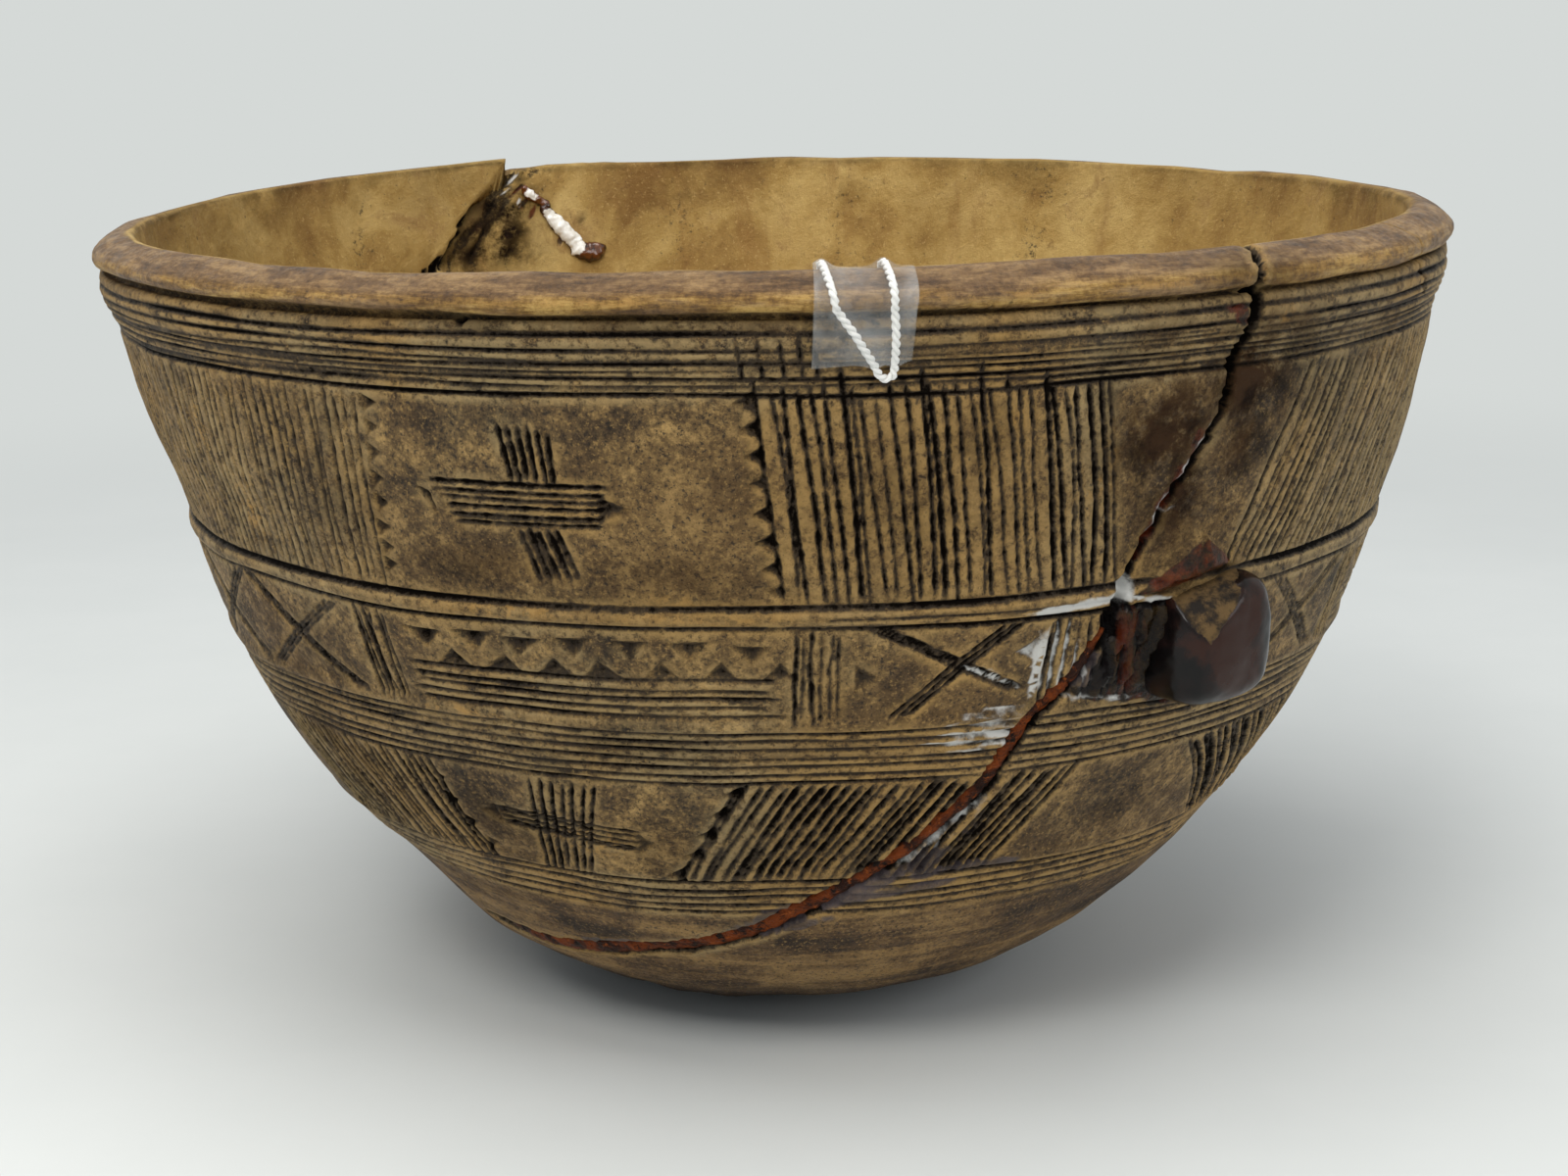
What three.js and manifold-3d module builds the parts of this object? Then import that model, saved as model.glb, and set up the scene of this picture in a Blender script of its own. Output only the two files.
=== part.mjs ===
// A hand-carved wooden bowl with a side lug, two old cracks, a resin repair in the front crack,
// a dried drip of glue inside, and a loop of tag string held on the rim by clear tape.
// Millimetres, +Z up. The origin is the centre of the worn flat that the bowl rests on.
// Azimuth 0 is the front, along -Y, and azimuth grows towards +X.
import * as THREE from "three";
import { mergeVertices } from "three/addons/utils/BufferGeometryUtils.js";
import Module from "manifold-3d";

// Bowl
const LIP_RADIUS = 160;
const LIP_OVERHANG = 3.3;
const RIM_HEIGHT = 188;
const LIP_HEIGHT = 8;
const LIP_GROOVE_HEIGHT = 4;
const LIP_GROOVE_DEPTH = 1.2;
const LIP_TIP_DROP = 4.5;
const RIM_WALL = 6.7;
const FLOOR_THICKNESS = 13;
const BASE_FLAT_RADIUS = 28;
const WALL_FLARE = 1.3;
const WALL_ROUNDNESS = 0.349;
const WALL_RINGS = 13;
const AROUND = 64;

// Lug
const LUG_AZIMUTH = 39.5;
const LUG_WIDTH = 22;
const LUG_HEIGHT = 28;
const LUG_REACH = 14;
const LUG_CENTRE_HEIGHT = 106;
const LUG_CORNER = 6;
const LUG_EDGE_ROUNDING = 4;
const LUG_ROOT = 12;

// Cracks: azimuth in degrees, height, and width of the gap
const FRONT_CRACK = [
  [37, RIM_HEIGHT + 8, 2.6],
  [36.8, 182, 2.4],
  [36.7, 171, 2.0],
  [35.9, 158, 1.6],
  [34.1, 148, 1.3],
  [31.6, 138, 1.3],
  [29.8, 128, 1.6],
  [28.2, 111, 2.3],
  [26, 101, 2.5],
  [22.5, 93, 2.7],
  [20.5, 82, 3.0],
  [18, 72, 3.2],
  [15, 65, 3.2],
  [10.5, 56.5, 3.0],
  [5.5, 48.5, 2.9],
  [-5, 36.5, 2.8],
  [-14, 31, 2.7],
  [-24, 27.5, 2.6],
  [-36, 24.5, 2.4],
  [-48, 24, 2.0],
  [-53, 24.4, 1.2],
];
const BACK_CRACK = [
  [-150, RIM_HEIGHT + 8, 5.0],
  [-148.5, 188, 4.2],
  [-145, 179, 2.8],
  [-142.5, 171, 2.6],
  [-138, 161, 2.6],
  [-130, 146, 2.2],
  [-123, 128, 1.8],
  [-119, 108, 1.4],
];
const CRACK_DEPTH = 22;
const CRACK_PROUD = 8;

// Resin in the lower part of the front crack
const RESIN_TOP_HEIGHT = 118;
const RESIN_DEPTH = 8;
const RESIN_SUNK = 0.6;
const SEAT_GAP = 0.3;

// Raised edge beside the back crack, where the wall has sprung
const SPRUNG_LIFT = 3;
const SPRUNG_SPREAD = 28;
const SPRUNG_STEP = 2;
const SPRUNG_FROM_HEIGHT = 110;

// Dried glue drip on the inner wall, its middle this far below the rim
const DRIP_AZIMUTH = -155.4;
const DRIP_DROP = 18;
const DRIP_LENGTH = 24;
const DRIP_RADIUS = 2.6;
const DRIP_HEAD_RADIUS = 3.4;
const DRIP_FLATNESS = 0.6;
const DRIP_LEAN = 38;

// Tag string and clear tape on the front rim, their feet this far below it
const STRING_RADIUS = 0.9;
const STRING_LEFT_AZIMUTH = 3.6;
const STRING_RIGHT_AZIMUTH = 8.1;
const STRING_FOOT_AZIMUTH = 7.6;
const STRING_FOOT_DROP = 19.4;
const STRING_TAIL = 17;
const STRING_TURN_RADIUS = 1.6;
const STRING_SIDES = 8;
const STRING_STEPS = 44;
const TAPE_WIDTH = 19;
const TAPE_AZIMUTH = 6.4;
const TAPE_FOOT_DROP = 17;
const TAPE_INSIDE = 14;
const TAPE_THICKNESS = 0.4;
const TAPE_STEPS_ACROSS = 6;

const wasm = await Module();
wasm.setup();

const radians = THREE.MathUtils.degToRad;

// Conversions between three.js geometry and closed solids

function solidOf(geometry) {
  const bare = geometry.clone();
  bare.deleteAttribute("normal");
  bare.deleteAttribute("uv");
  const merged = mergeVertices(bare, 1e-4);
  const mesh = new wasm.Mesh({
    numProp: 3,
    vertProperties: new Float32Array(merged.attributes.position.array),
    triVerts: new Uint32Array(merged.index.array),
  });
  return new wasm.Manifold(mesh);
}

function geometryOf(solid) {
  const mesh = solid.getMesh();
  const geometry = new THREE.BufferGeometry();
  geometry.setAttribute("position", new THREE.BufferAttribute(mesh.vertProperties, mesh.numProp));
  geometry.setIndex(new THREE.BufferAttribute(mesh.triVerts, 1));
  geometry.computeVertexNormals();
  return geometry;
}

// Wall profile: radius of the outer and inner surface at a height

const WALL_TOP_HEIGHT = RIM_HEIGHT - LIP_HEIGHT - LIP_GROOVE_HEIGHT;
const WALL_TOP_RADIUS = LIP_RADIUS - LIP_OVERHANG;
const INNER_RIM_RADIUS = WALL_TOP_RADIUS - RIM_WALL;

function flared(share) {
  const kept = THREE.MathUtils.clamp(share, 0, 1);
  return Math.pow(1 - Math.pow(1 - kept, WALL_FLARE), WALL_ROUNDNESS);
}

const FLAT_SHARE =
  1 - Math.pow(1 - Math.pow(BASE_FLAT_RADIUS / WALL_TOP_RADIUS, 1 / WALL_ROUNDNESS), 1 / WALL_FLARE);

function outerRadius(height) {
  return WALL_TOP_RADIUS * flared(FLAT_SHARE + ((1 - FLAT_SHARE) * height) / WALL_TOP_HEIGHT);
}

function innerRadius(height) {
  return INNER_RIM_RADIUS * flared((height - FLOOR_THICKNESS) / (RIM_HEIGHT - FLOOR_THICKNESS));
}

// A point on a meridian: radius and height turned to an azimuth
function placed(radius, height, azimuth) {
  const a = radians(azimuth);
  return new THREE.Vector3(radius * Math.sin(a), -radius * Math.cos(a), height);
}

// The outer wall's outward normal at a height, in the meridian plane
function wallNormal(height, azimuth) {
  const step = 0.5;
  const level = Math.max(height, 2 * step);
  const slope = (outerRadius(level + step) - outerRadius(level - step)) / (2 * step);
  const across = 1 / Math.hypot(1, slope);
  const a = radians(azimuth);
  return new THREE.Vector3(across * Math.sin(a), -across * Math.cos(a), -across * slope);
}

// How far the sprung edge beside the back crack stands up
function sprungLift(azimuth, height) {
  const edge = BACK_CRACK[1][0];
  const past = THREE.MathUtils.euclideanModulo(azimuth - edge, 360);
  const rise = THREE.MathUtils.smoothstep(past, 0, SPRUNG_STEP);
  const near = rise * Math.exp(-past / SPRUNG_SPREAD);
  return SPRUNG_LIFT * near * THREE.MathUtils.smoothstep(height, SPRUNG_FROM_HEIGHT, RIM_HEIGHT);
}

function sprung(geometry) {
  const position = geometry.getAttribute("position");
  for (let i = 0; i < position.count; i += 1) {
    const azimuth = THREE.MathUtils.radToDeg(Math.atan2(position.getX(i), -position.getY(i)));
    const height = position.getZ(i);
    position.setZ(i, height + sprungLift(azimuth, height));
  }
  return geometry;
}

// Solids of revolution about Z

function turned(profile) {
  const points = profile.map(([radius, height]) => new THREE.Vector2(radius, height));
  return new THREE.LatheGeometry(points, AROUND).rotateX(Math.PI / 2);
}

function wallHeights(from, to) {
  return Array.from({ length: WALL_RINGS + 1 }, (_, i) => {
    const share = i / WALL_RINGS;
    return from + (to - from) * share ** 1.6;
  });
}

function outerSolid() {
  const grooveTop = RIM_HEIGHT - LIP_HEIGHT;
  const wall = wallHeights(0, WALL_TOP_HEIGHT).map((height) => [outerRadius(height), height]);
  const profile = [
    [0, 0],
    ...wall,
    [WALL_TOP_RADIUS - LIP_GROOVE_DEPTH, WALL_TOP_HEIGHT + LIP_GROOVE_HEIGHT / 2],
    [WALL_TOP_RADIUS - LIP_GROOVE_DEPTH, grooveTop],
    [LIP_RADIUS - LIP_OVERHANG / 4, grooveTop + LIP_GROOVE_DEPTH / 2],
    [LIP_RADIUS, RIM_HEIGHT - LIP_TIP_DROP],
    [LIP_RADIUS - LIP_OVERHANG / 2, RIM_HEIGHT - LIP_TIP_DROP / 2],
    [INNER_RIM_RADIUS + RIM_WALL / 2, RIM_HEIGHT],
    [0, RIM_HEIGHT],
  ];
  return solidOf(sprung(turned(profile)));
}

function cavitySolid() {
  const above = SPRUNG_LIFT + CRACK_PROUD;
  const wall = wallHeights(FLOOR_THICKNESS, RIM_HEIGHT).map((height) => [innerRadius(height), height]);
  const flare = RIM_WALL / 4;
  const profile = [
    [0, FLOOR_THICKNESS],
    ...wall.slice(1, -1),
    [INNER_RIM_RADIUS, RIM_HEIGHT - flare],
    [INNER_RIM_RADIUS + flare, RIM_HEIGHT + SPRUNG_LIFT],
    [INNER_RIM_RADIUS + flare, RIM_HEIGHT + above],
    [0, RIM_HEIGHT + above],
  ];
  return solidOf(turned(profile));
}

// A rounded block that grows out of the wall
function lugSolid() {
  const w = LUG_WIDTH / 2 - LUG_EDGE_ROUNDING;
  const h = LUG_HEIGHT / 2 - LUG_EDGE_ROUNDING;
  const c = LUG_CORNER - LUG_EDGE_ROUNDING;
  const outline = new THREE.Shape();
  outline.absarc(w - c, h - c, c, 0, Math.PI / 2);
  outline.absarc(c - w, h - c, c, Math.PI / 2, Math.PI);
  outline.absarc(c - w, c - h, c, Math.PI, 1.5 * Math.PI);
  outline.absarc(w - c, c - h, c, 1.5 * Math.PI, 2 * Math.PI);
  const depth = LUG_ROOT + LUG_REACH - 2 * LUG_EDGE_ROUNDING;
  const block = new THREE.ExtrudeGeometry(outline, {
    depth,
    curveSegments: 4,
    bevelThickness: LUG_EDGE_ROUNDING,
    bevelSize: LUG_EDGE_ROUNDING,
    bevelSegments: 4,
  });
  const face = outerRadius(LUG_CENTRE_HEIGHT) + LUG_REACH;
  block.translate(0, 0, face - depth - LUG_EDGE_ROUNDING);
  block.rotateX(Math.PI / 2);
  block.translate(0, 0, LUG_CENTRE_HEIGHT);
  block.rotateZ(radians(LUG_AZIMUTH));
  return solidOf(block);
}

// A curtain through the wall along a crack, from proud of the outer face to a depth below it
function crackBlade(path, proud, depth, narrower) {
  const seats = path.map(([azimuth, height, width]) => ({
    at: placed(outerRadius(height), height, azimuth),
    out: wallNormal(height, azimuth),
    half: (width - narrower) / 2,
  }));
  const corners = [];
  seats.forEach((seat, i) => {
    const before = seats[Math.max(i - 1, 0)].at;
    const after = seats[Math.min(i + 1, seats.length - 1)].at;
    const along = new THREE.Vector3().subVectors(after, before);
    const side = new THREE.Vector3().crossVectors(seat.out, along).setLength(seat.half);
    const outer = seat.at.clone().addScaledVector(seat.out, proud);
    const inner = seat.at.clone().addScaledVector(seat.out, -depth);
    corners.push(outer.clone().add(side), outer.clone().sub(side));
    corners.push(inner.clone().sub(side), inner.clone().add(side));
  });
  const faces = [];
  for (let i = 0; i + 1 < seats.length; i += 1) {
    for (let k = 0; k < 4; k += 1) {
      const a = 4 * i + k;
      const b = 4 * i + ((k + 1) % 4);
      faces.push(a, b, b + 4, a, b + 4, a + 4);
    }
  }
  const last = 4 * (seats.length - 1);
  faces.push(0, 2, 1, 0, 3, 2, last, last + 1, last + 2, last, last + 2, last + 3);
  return closedStrip(corners, faces);
}

function closedStrip(corners, faces) {
  const geometry = new THREE.BufferGeometry().setFromPoints(corners);
  geometry.setIndex(faces);
  const made = solidOf(geometry);
  if (made.volume() > 0) return made;
  geometry.setIndex(faces.slice().reverse());
  return solidOf(geometry);
}

function bowlGeometry() {
  const carved = outerSolid().add(lugSolid()).subtract(cavitySolid());
  const front = crackBlade(FRONT_CRACK, CRACK_PROUD, CRACK_DEPTH, 0);
  const back = crackBlade(BACK_CRACK, CRACK_PROUD, CRACK_DEPTH, 0);
  return geometryOf(carved.subtract(front).subtract(back));
}

function resinGeometry() {
  const path = FRONT_CRACK.slice(0, -1).filter(([, height]) => height < RESIN_TOP_HEIGHT);
  return geometryOf(crackBlade(path, -RESIN_SUNK, RESIN_DEPTH, 2 * SEAT_GAP));
}

// A drip: a round-ended rod with a fuller lower end, flattened against the inner wall
function dripGeometry() {
  const half = DRIP_LENGTH / 2;
  const points = [
    [0, -half],
    [DRIP_HEAD_RADIUS * 0.75, -half + DRIP_HEAD_RADIUS * 0.35],
    [DRIP_HEAD_RADIUS, -half + DRIP_HEAD_RADIUS],
    [DRIP_RADIUS, -half + 2.6 * DRIP_HEAD_RADIUS],
    [DRIP_RADIUS, half - 2 * DRIP_RADIUS],
    [DRIP_RADIUS * 0.7, half - 0.5 * DRIP_RADIUS],
    [0, half],
  ].map(([radius, along]) => new THREE.Vector2(radius, along));
  const drip = new THREE.LatheGeometry(points, 16);
  drip.scale(1, 1, DRIP_FLATNESS);
  drip.rotateZ(radians(DRIP_LEAN));
  const height = RIM_HEIGHT - DRIP_DROP;
  const wall = innerRadius(height);
  const span = half * Math.sin(radians(DRIP_LEAN)) + DRIP_HEAD_RADIUS;
  const sagitta = wall - Math.sqrt(wall * wall - span * span);
  const slope = (innerRadius(height + half) - innerRadius(height - half)) / DRIP_LENGTH;
  const stand = SEAT_GAP + sagitta + DRIP_HEAD_RADIUS * DRIP_FLATNESS;
  drip.rotateX(Math.PI / 2 + Math.atan(slope));
  drip.translate(0, -(wall - stand), height);
  drip.rotateZ(radians(DRIP_AZIMUTH));
  return geometryOf(solidOf(drip));
}

// The rim's section, from low on the outside, over the lip and crest, to low on the inside.
// Tape spans the groove under the lip in a straight line.
function rimSection() {
  const tail = RIM_HEIGHT - STRING_TAIL;
  const stringFoot = RIM_HEIGHT - STRING_FOOT_DROP;
  const tapeFoot = RIM_HEIGHT - TAPE_FOOT_DROP;
  return [
    [outerRadius(stringFoot - 4), stringFoot - 4],
    [outerRadius(tapeFoot), tapeFoot],
    [WALL_TOP_RADIUS + LIP_OVERHANG * 0.25, WALL_TOP_HEIGHT],
    [LIP_RADIUS, RIM_HEIGHT - LIP_HEIGHT + 0.5],
    [LIP_RADIUS + 0.2, RIM_HEIGHT - LIP_TIP_DROP],
    [LIP_RADIUS - LIP_OVERHANG / 2 + 0.2, RIM_HEIGHT - LIP_TIP_DROP / 2 + 0.2],
    [INNER_RIM_RADIUS + RIM_WALL / 2, RIM_HEIGHT + 0.2],
    [INNER_RIM_RADIUS - 0.1, RIM_HEIGHT + 0.1],
    [innerRadius(RIM_HEIGHT - 4) - 0.2, RIM_HEIGHT - 4],
    [innerRadius(tail) - 0.1, tail],
    [innerRadius(tail - 4) - 0.1, tail - 4],
  ].map(([radius, height]) => new THREE.Vector2(radius, height));
}

// The section moved outwards from the wood by a distance
function raisedSection(distance) {
  const section = rimSection();
  return section.map((point, i) => {
    const before = section[Math.max(i - 1, 0)];
    const after = section[Math.min(i + 1, section.length - 1)];
    const along = after.clone().sub(before).normalize();
    return new THREE.Vector2(point.x + along.y * distance, point.y - along.x * distance);
  });
}

// A point at a share of the way along a raised section, between two of its heights
function onSection(section, step) {
  const i = Math.min(Math.floor(step), section.length - 2);
  return section[i].clone().lerp(section[i + 1], step - i);
}

// Steps along rimSection's points
const STEP_FOOT = 1;
const STEP_LIP = 4;
const STEP_CREST = 6;
const STEP_INSIDE = 9;

function stringPath() {
  const section = raisedSection(SEAT_GAP + STRING_RADIUS);
  const legs = [];
  const leg = (azimuths, steps) => {
    steps.forEach((step, i) => {
      const point = onSection(section, step);
      legs.push(placed(point.x, point.y, azimuths[i]));
    });
  };
  const turn = THREE.MathUtils.radToDeg(STRING_TURN_RADIUS / LIP_RADIUS);
  const slant = (STRING_FOOT_AZIMUTH - STRING_LEFT_AZIMUTH) / (STEP_CREST - STEP_FOOT);
  const leftAt = (step) => STRING_LEFT_AZIMUTH + slant * (STEP_CREST - step) - turn;
  const rightAt = (step) => STRING_RIGHT_AZIMUTH + (turn * (STEP_CREST - step)) / STEP_CREST;
  const down = [STEP_INSIDE, STEP_INSIDE - 1, STEP_CREST + 1, STEP_CREST, 5, STEP_LIP, 3, 2, STEP_FOOT];
  leg(down.map((step) => leftAt(Math.min(step, STEP_CREST))), down);
  leg([STRING_FOOT_AZIMUTH - turn / 3, STRING_FOOT_AZIMUTH + turn / 2], [0.55, 0.55]);
  const up = down.slice().reverse();
  leg(up.map((step) => rightAt(Math.min(step, STEP_CREST))), up);
  return new THREE.CatmullRomCurve3(legs, false, "centripetal");
}

function tubeGeometry(path, radius) {
  const section = new THREE.Shape();
  section.absarc(0, 0, radius, 0, 2 * Math.PI);
  return new THREE.ExtrudeGeometry(section, {
    steps: STRING_STEPS,
    curveSegments: STRING_SIDES / 2,
    extrudePath: path,
  });
}

// A band that follows the rim's section between two raised distances, across an azimuth range
function rimBand(low, high, fromStep, toStep, halfWidth) {
  const steps = [fromStep];
  for (let s = Math.floor(fromStep) + 1; s < toStep; s += 1) steps.push(s);
  steps.push(toStep);
  const under = raisedSection(low);
  const over = raisedSection(high);
  const half = THREE.MathUtils.radToDeg(halfWidth / LIP_RADIUS);
  const points = [];
  const rows = TAPE_STEPS_ACROSS + 1;
  for (let j = 0; j < rows; j += 1) {
    const azimuth = TAPE_AZIMUTH - half + (2 * half * j) / TAPE_STEPS_ACROSS;
    const loop = [
      ...steps.map((step) => onSection(under, step)),
      ...steps.slice().reverse().map((step) => onSection(over, step)),
    ];
    loop.forEach((point) => points.push(placed(point.x, point.y, azimuth)));
  }
  const n = 2 * steps.length;
  const faces = [];
  for (let j = 0; j + 1 < rows; j += 1) {
    for (let k = 0; k < n; k += 1) {
      const a = j * n + k;
      const b = j * n + ((k + 1) % n);
      faces.push(a, b, b + n, a, b + n, a + n);
    }
  }
  const end = (rows - 1) * n;
  for (let k = 0; k + 1 < steps.length; k += 1) {
    const [a, b, c, d] = [k, k + 1, n - 2 - k, n - 1 - k];
    faces.push(a, c, b, a, d, c, end + a, end + b, end + c, end + a, end + c, end + d);
  }
  return closedStrip(points, faces);
}

// Clear tape over the rim, arched over the two legs of the string
function tapeGeometry(path) {
  const top = SEAT_GAP + TAPE_THICKNESS;
  const insideStep = STEP_INSIDE - (STRING_TAIL - TAPE_INSIDE) / STRING_TAIL;
  const reach = 2 * (STRING_RADIUS + top);
  const sheet = rimBand(SEAT_GAP, top, STEP_FOOT, insideStep, TAPE_WIDTH / 2);
  const slab = rimBand(SEAT_GAP, reach, STEP_FOOT, insideStep, TAPE_WIDTH / 2);
  const sleeve = solidOf(tubeGeometry(path, STRING_RADIUS + top)).intersect(slab);
  const channel = solidOf(tubeGeometry(path, STRING_RADIUS + SEAT_GAP));
  return geometryOf(sheet.add(sleeve).subtract(channel));
}

// Scene graph

const WOOD = new THREE.MeshStandardMaterial({ color: 0x6b5230, roughness: 0.75, metalness: 0 });
const RESIN = new THREE.MeshStandardMaterial({ color: 0x4a1d0c, roughness: 0.35, metalness: 0 });
const GLUE = new THREE.MeshStandardMaterial({ color: 0xe6e0d2, roughness: 0.25, metalness: 0 });
const COTTON = new THREE.MeshStandardMaterial({ color: 0xeceae4, roughness: 0.9, metalness: 0 });
const FILM = new THREE.MeshStandardMaterial({
  color: 0xdfe3e6,
  roughness: 0.2,
  metalness: 0,
  transparent: true,
  opacity: 0.3,
});

function named(name, geometry, material) {
  const mesh = new THREE.Mesh(geometry, material);
  mesh.name = name;
  return mesh;
}

const string = stringPath();
const bowl = new THREE.Group();
bowl.add(named("bowl", bowlGeometry(), WOOD));
bowl.add(named("crack_resin", resinGeometry(), RESIN));
bowl.add(named("glue_drip", dripGeometry(), GLUE));
bowl.add(named("tag_string", geometryOf(solidOf(tubeGeometry(string, STRING_RADIUS))), COTTON));
bowl.add(named("rim_tape", tapeGeometry(string), FILM));

export default bowl;
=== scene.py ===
import math

import bpy
import numpy as np
from mathutils import Matrix, Vector, noise


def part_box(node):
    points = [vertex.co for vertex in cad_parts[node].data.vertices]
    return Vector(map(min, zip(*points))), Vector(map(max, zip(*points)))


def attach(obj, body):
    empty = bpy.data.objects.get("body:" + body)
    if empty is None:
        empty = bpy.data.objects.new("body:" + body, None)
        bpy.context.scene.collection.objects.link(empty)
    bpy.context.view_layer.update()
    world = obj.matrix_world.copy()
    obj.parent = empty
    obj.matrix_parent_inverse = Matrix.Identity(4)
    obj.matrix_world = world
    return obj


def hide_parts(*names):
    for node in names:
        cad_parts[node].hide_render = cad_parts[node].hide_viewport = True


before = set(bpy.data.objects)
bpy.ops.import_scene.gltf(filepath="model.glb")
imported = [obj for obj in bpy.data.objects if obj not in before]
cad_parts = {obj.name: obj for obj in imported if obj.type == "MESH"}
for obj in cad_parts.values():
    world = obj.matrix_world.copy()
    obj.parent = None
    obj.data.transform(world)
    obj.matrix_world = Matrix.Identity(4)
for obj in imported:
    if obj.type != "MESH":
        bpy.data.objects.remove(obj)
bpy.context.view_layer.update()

MM = 0.001
RNG = np.random.default_rng(11)

# The bowl's profile in millimetres, as the solid model has it
LIP_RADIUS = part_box("bowl")[1].x / MM
RIM_HEIGHT = 188.0
WALL_TOP_HEIGHT = 176.0
WALL_TOP_RADIUS = LIP_RADIUS - 3.3
INNER_RIM_RADIUS = WALL_TOP_RADIUS - 6.7
FLOOR_THICKNESS = 13.0
BASE_FLAT_RADIUS = 28.0
WALL_FLARE = 1.3
WALL_ROUNDNESS = 0.349

# Samples along each wall's profile, crowded towards the base, and the hole left round the axis
PROFILE_SAMPLES = 1500
PROFILE_CROWDING = 1.8
AXIS_RADIUS = 1.5

# Mesh spacing, in millimetres or degrees, before the relief is simplified
COARSE = 1.0
BASE_STEP = 3.0 * COARSE
WALL_STEP = 0.5 * COARSE
LIP_STEP = 0.5 * COARSE
INNER_STEP = 1.5 * COARSE
FINE_AZIMUTH_STEP = 0.19 * COARSE
PLAIN_AZIMUTH_STEP = 0.38 * COARSE
FINE_AZIMUTHS = [(-164.0, -134.0), (-74.0, 74.0)]

# Faces left after that, and the azimuths that keep more of them: outside at the front, inside at the back
BOWL_FACES = 195000
SPARE_FACTOR = 0.002
FRONT_SEEN = 75.0
BACK_SEEN = (-160.0, -138.0)

# Heights of the carved tiers
UPPER_TIER = (121.5, 164.0)
LOWER_TIER = (54.0, 79.5)

# Cracks as (azimuth, height): azimuth 0 is the front and grows towards +X
FRONT_CRACK = [
    (38.4, 188), (37, 185.5), (36.8, 181), (36.9, 176), (36.7, 171), (35.8, 166), (36, 161),
    (35.7, 155), (34.1, 148), (32.9, 143), (31.6, 138), (30.9, 133), (29.8, 128), (29, 120.8),
    (28.2, 111), (26.2, 102), (24.6, 97.5), (22.5, 93), (21.6, 87.5), (20.5, 82), (19.5, 76.5),
    (18, 72), (15.2, 65.3), (13, 60.6), (10.6, 56.6), (5.7, 48.6), (0.2, 41.3), (-5, 36.4),
    (-13.6, 31), (-21.6, 28.2), (-30.9, 25.7), (-40, 24), (-48, 23.8), (-53, 24.3),
]
BACK_CRACK = [
    (-150.2, 191.5), (-148.8, 188), (-147.2, 183.5), (-145.1, 179.4), (-144, 175.5), (-142.8, 171.5),
    (-140, 163), (-136, 156), (-130, 146), (-126, 137), (-123, 128), (-120, 118),
    (-119, 108),
]
RESIN_TOP = 117.0
SPRUNG_LIFT = 3.0
SPRUNG_SPREAD = 28.0
SPRUNG_FROM = 110.0
UNDER_LIP_BULGE = 2.2

# Near the rim the back crack leans over, and the wall's columns are turned to run along it
LEAN_FROM = 163.0
LEAN_COLUMN = -140.0
LEAN_SPREAD = 26.0

# The torn edge and the gaps at the rim, in degrees across and millimetres deep
BEVEL_DEPTH = 3.0
WEDGE_DEPTH = 17.0
NICK_AZIMUTH = 37.8
NICK_HALF = 0.8
NICK_DEPTH = 8.0

# The rim is kept smooth under the tape, within about this many degrees
TAPE_AZIMUTH = 6.4
TAPE_CALM = 8.0

# The rim's low place on the left
RIM_DIP = 2.2
RIM_DIP_AZIMUTH = -88.0
RIM_DIP_SPREAD = 36.0

# Lug on the wall
LUG_AZIMUTH = 38.7
LUG_HEIGHT = 106.0
LUG_HALF = (13.2, 14.2, 13.0)
LUG_REACH = 14.0
LUG_CORNER = 0.5
LUG_WORN_WAY = (-0.35, 0.75, 0.55)


def flared(share):
    kept = np.clip(share, 0.0, 1.0)
    return (1.0 - (1.0 - kept) ** WALL_FLARE) ** WALL_ROUNDNESS


FLAT_RATIO = BASE_FLAT_RADIUS / WALL_TOP_RADIUS
FLAT_SHARE = 1.0 - (1.0 - FLAT_RATIO ** (1.0 / WALL_ROUNDNESS)) ** (1.0 / WALL_FLARE)


def outer_radius(height):
    return WALL_TOP_RADIUS * flared(FLAT_SHARE + (1.0 - FLAT_SHARE) * np.asarray(height) / WALL_TOP_HEIGHT)


def inner_radius(height):
    share = (np.asarray(height) - FLOOR_THICKNESS) / (RIM_HEIGHT - FLOOR_THICKNESS)
    return INNER_RIM_RADIUS * flared(share)


def smooth(x, low, high):
    t = np.clip((np.asarray(x, float) - low) / (high - low), 0.0, 1.0)
    return t * t * (3.0 - 2.0 * t)


def rounded(points, per_span=14):
    """A smooth line through the points, as a Catmull-Rom spline."""
    p = np.asarray(points, float)
    p = np.vstack([2 * p[0] - p[1], p, 2 * p[-1] - p[-2]])
    t = np.linspace(0.0, 1.0, per_span, endpoint=False)[:, None]
    spans = []
    for a, b, c, d in zip(p, p[1:], p[2:], p[3:]):
        square, cube = 2 * a - 5 * b + 4 * c - d, 3 * b - a - 3 * c + d
        spans.append(0.5 * (2 * b + (c - a) * t + square * t**2 + cube * t**3))
    return np.vstack([*spans, p[-2:-1]])


# The lip's section, from the top of the wall over the tip and crest to the inner wall
LIP_SECTION = [
    (WALL_TOP_RADIUS, WALL_TOP_HEIGHT),
    (WALL_TOP_RADIUS - 0.2, 178.0),
    (WALL_TOP_RADIUS - 0.8, 179.4),
    (WALL_TOP_RADIUS + 0.9, 180.5),
    (LIP_RADIUS - 0.8, 180.9),
    (LIP_RADIUS, 182.4),
    (LIP_RADIUS - 0.5, 184.3),
    (LIP_RADIUS - 2.8, 186.2),
    (LIP_RADIUS - 5.8, 187.6),
    (LIP_RADIUS - 8.4, RIM_HEIGHT),
    (INNER_RIM_RADIUS + 0.2, 187.2),
    (INNER_RIM_RADIUS - 0.1, 185.4),
]


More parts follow.
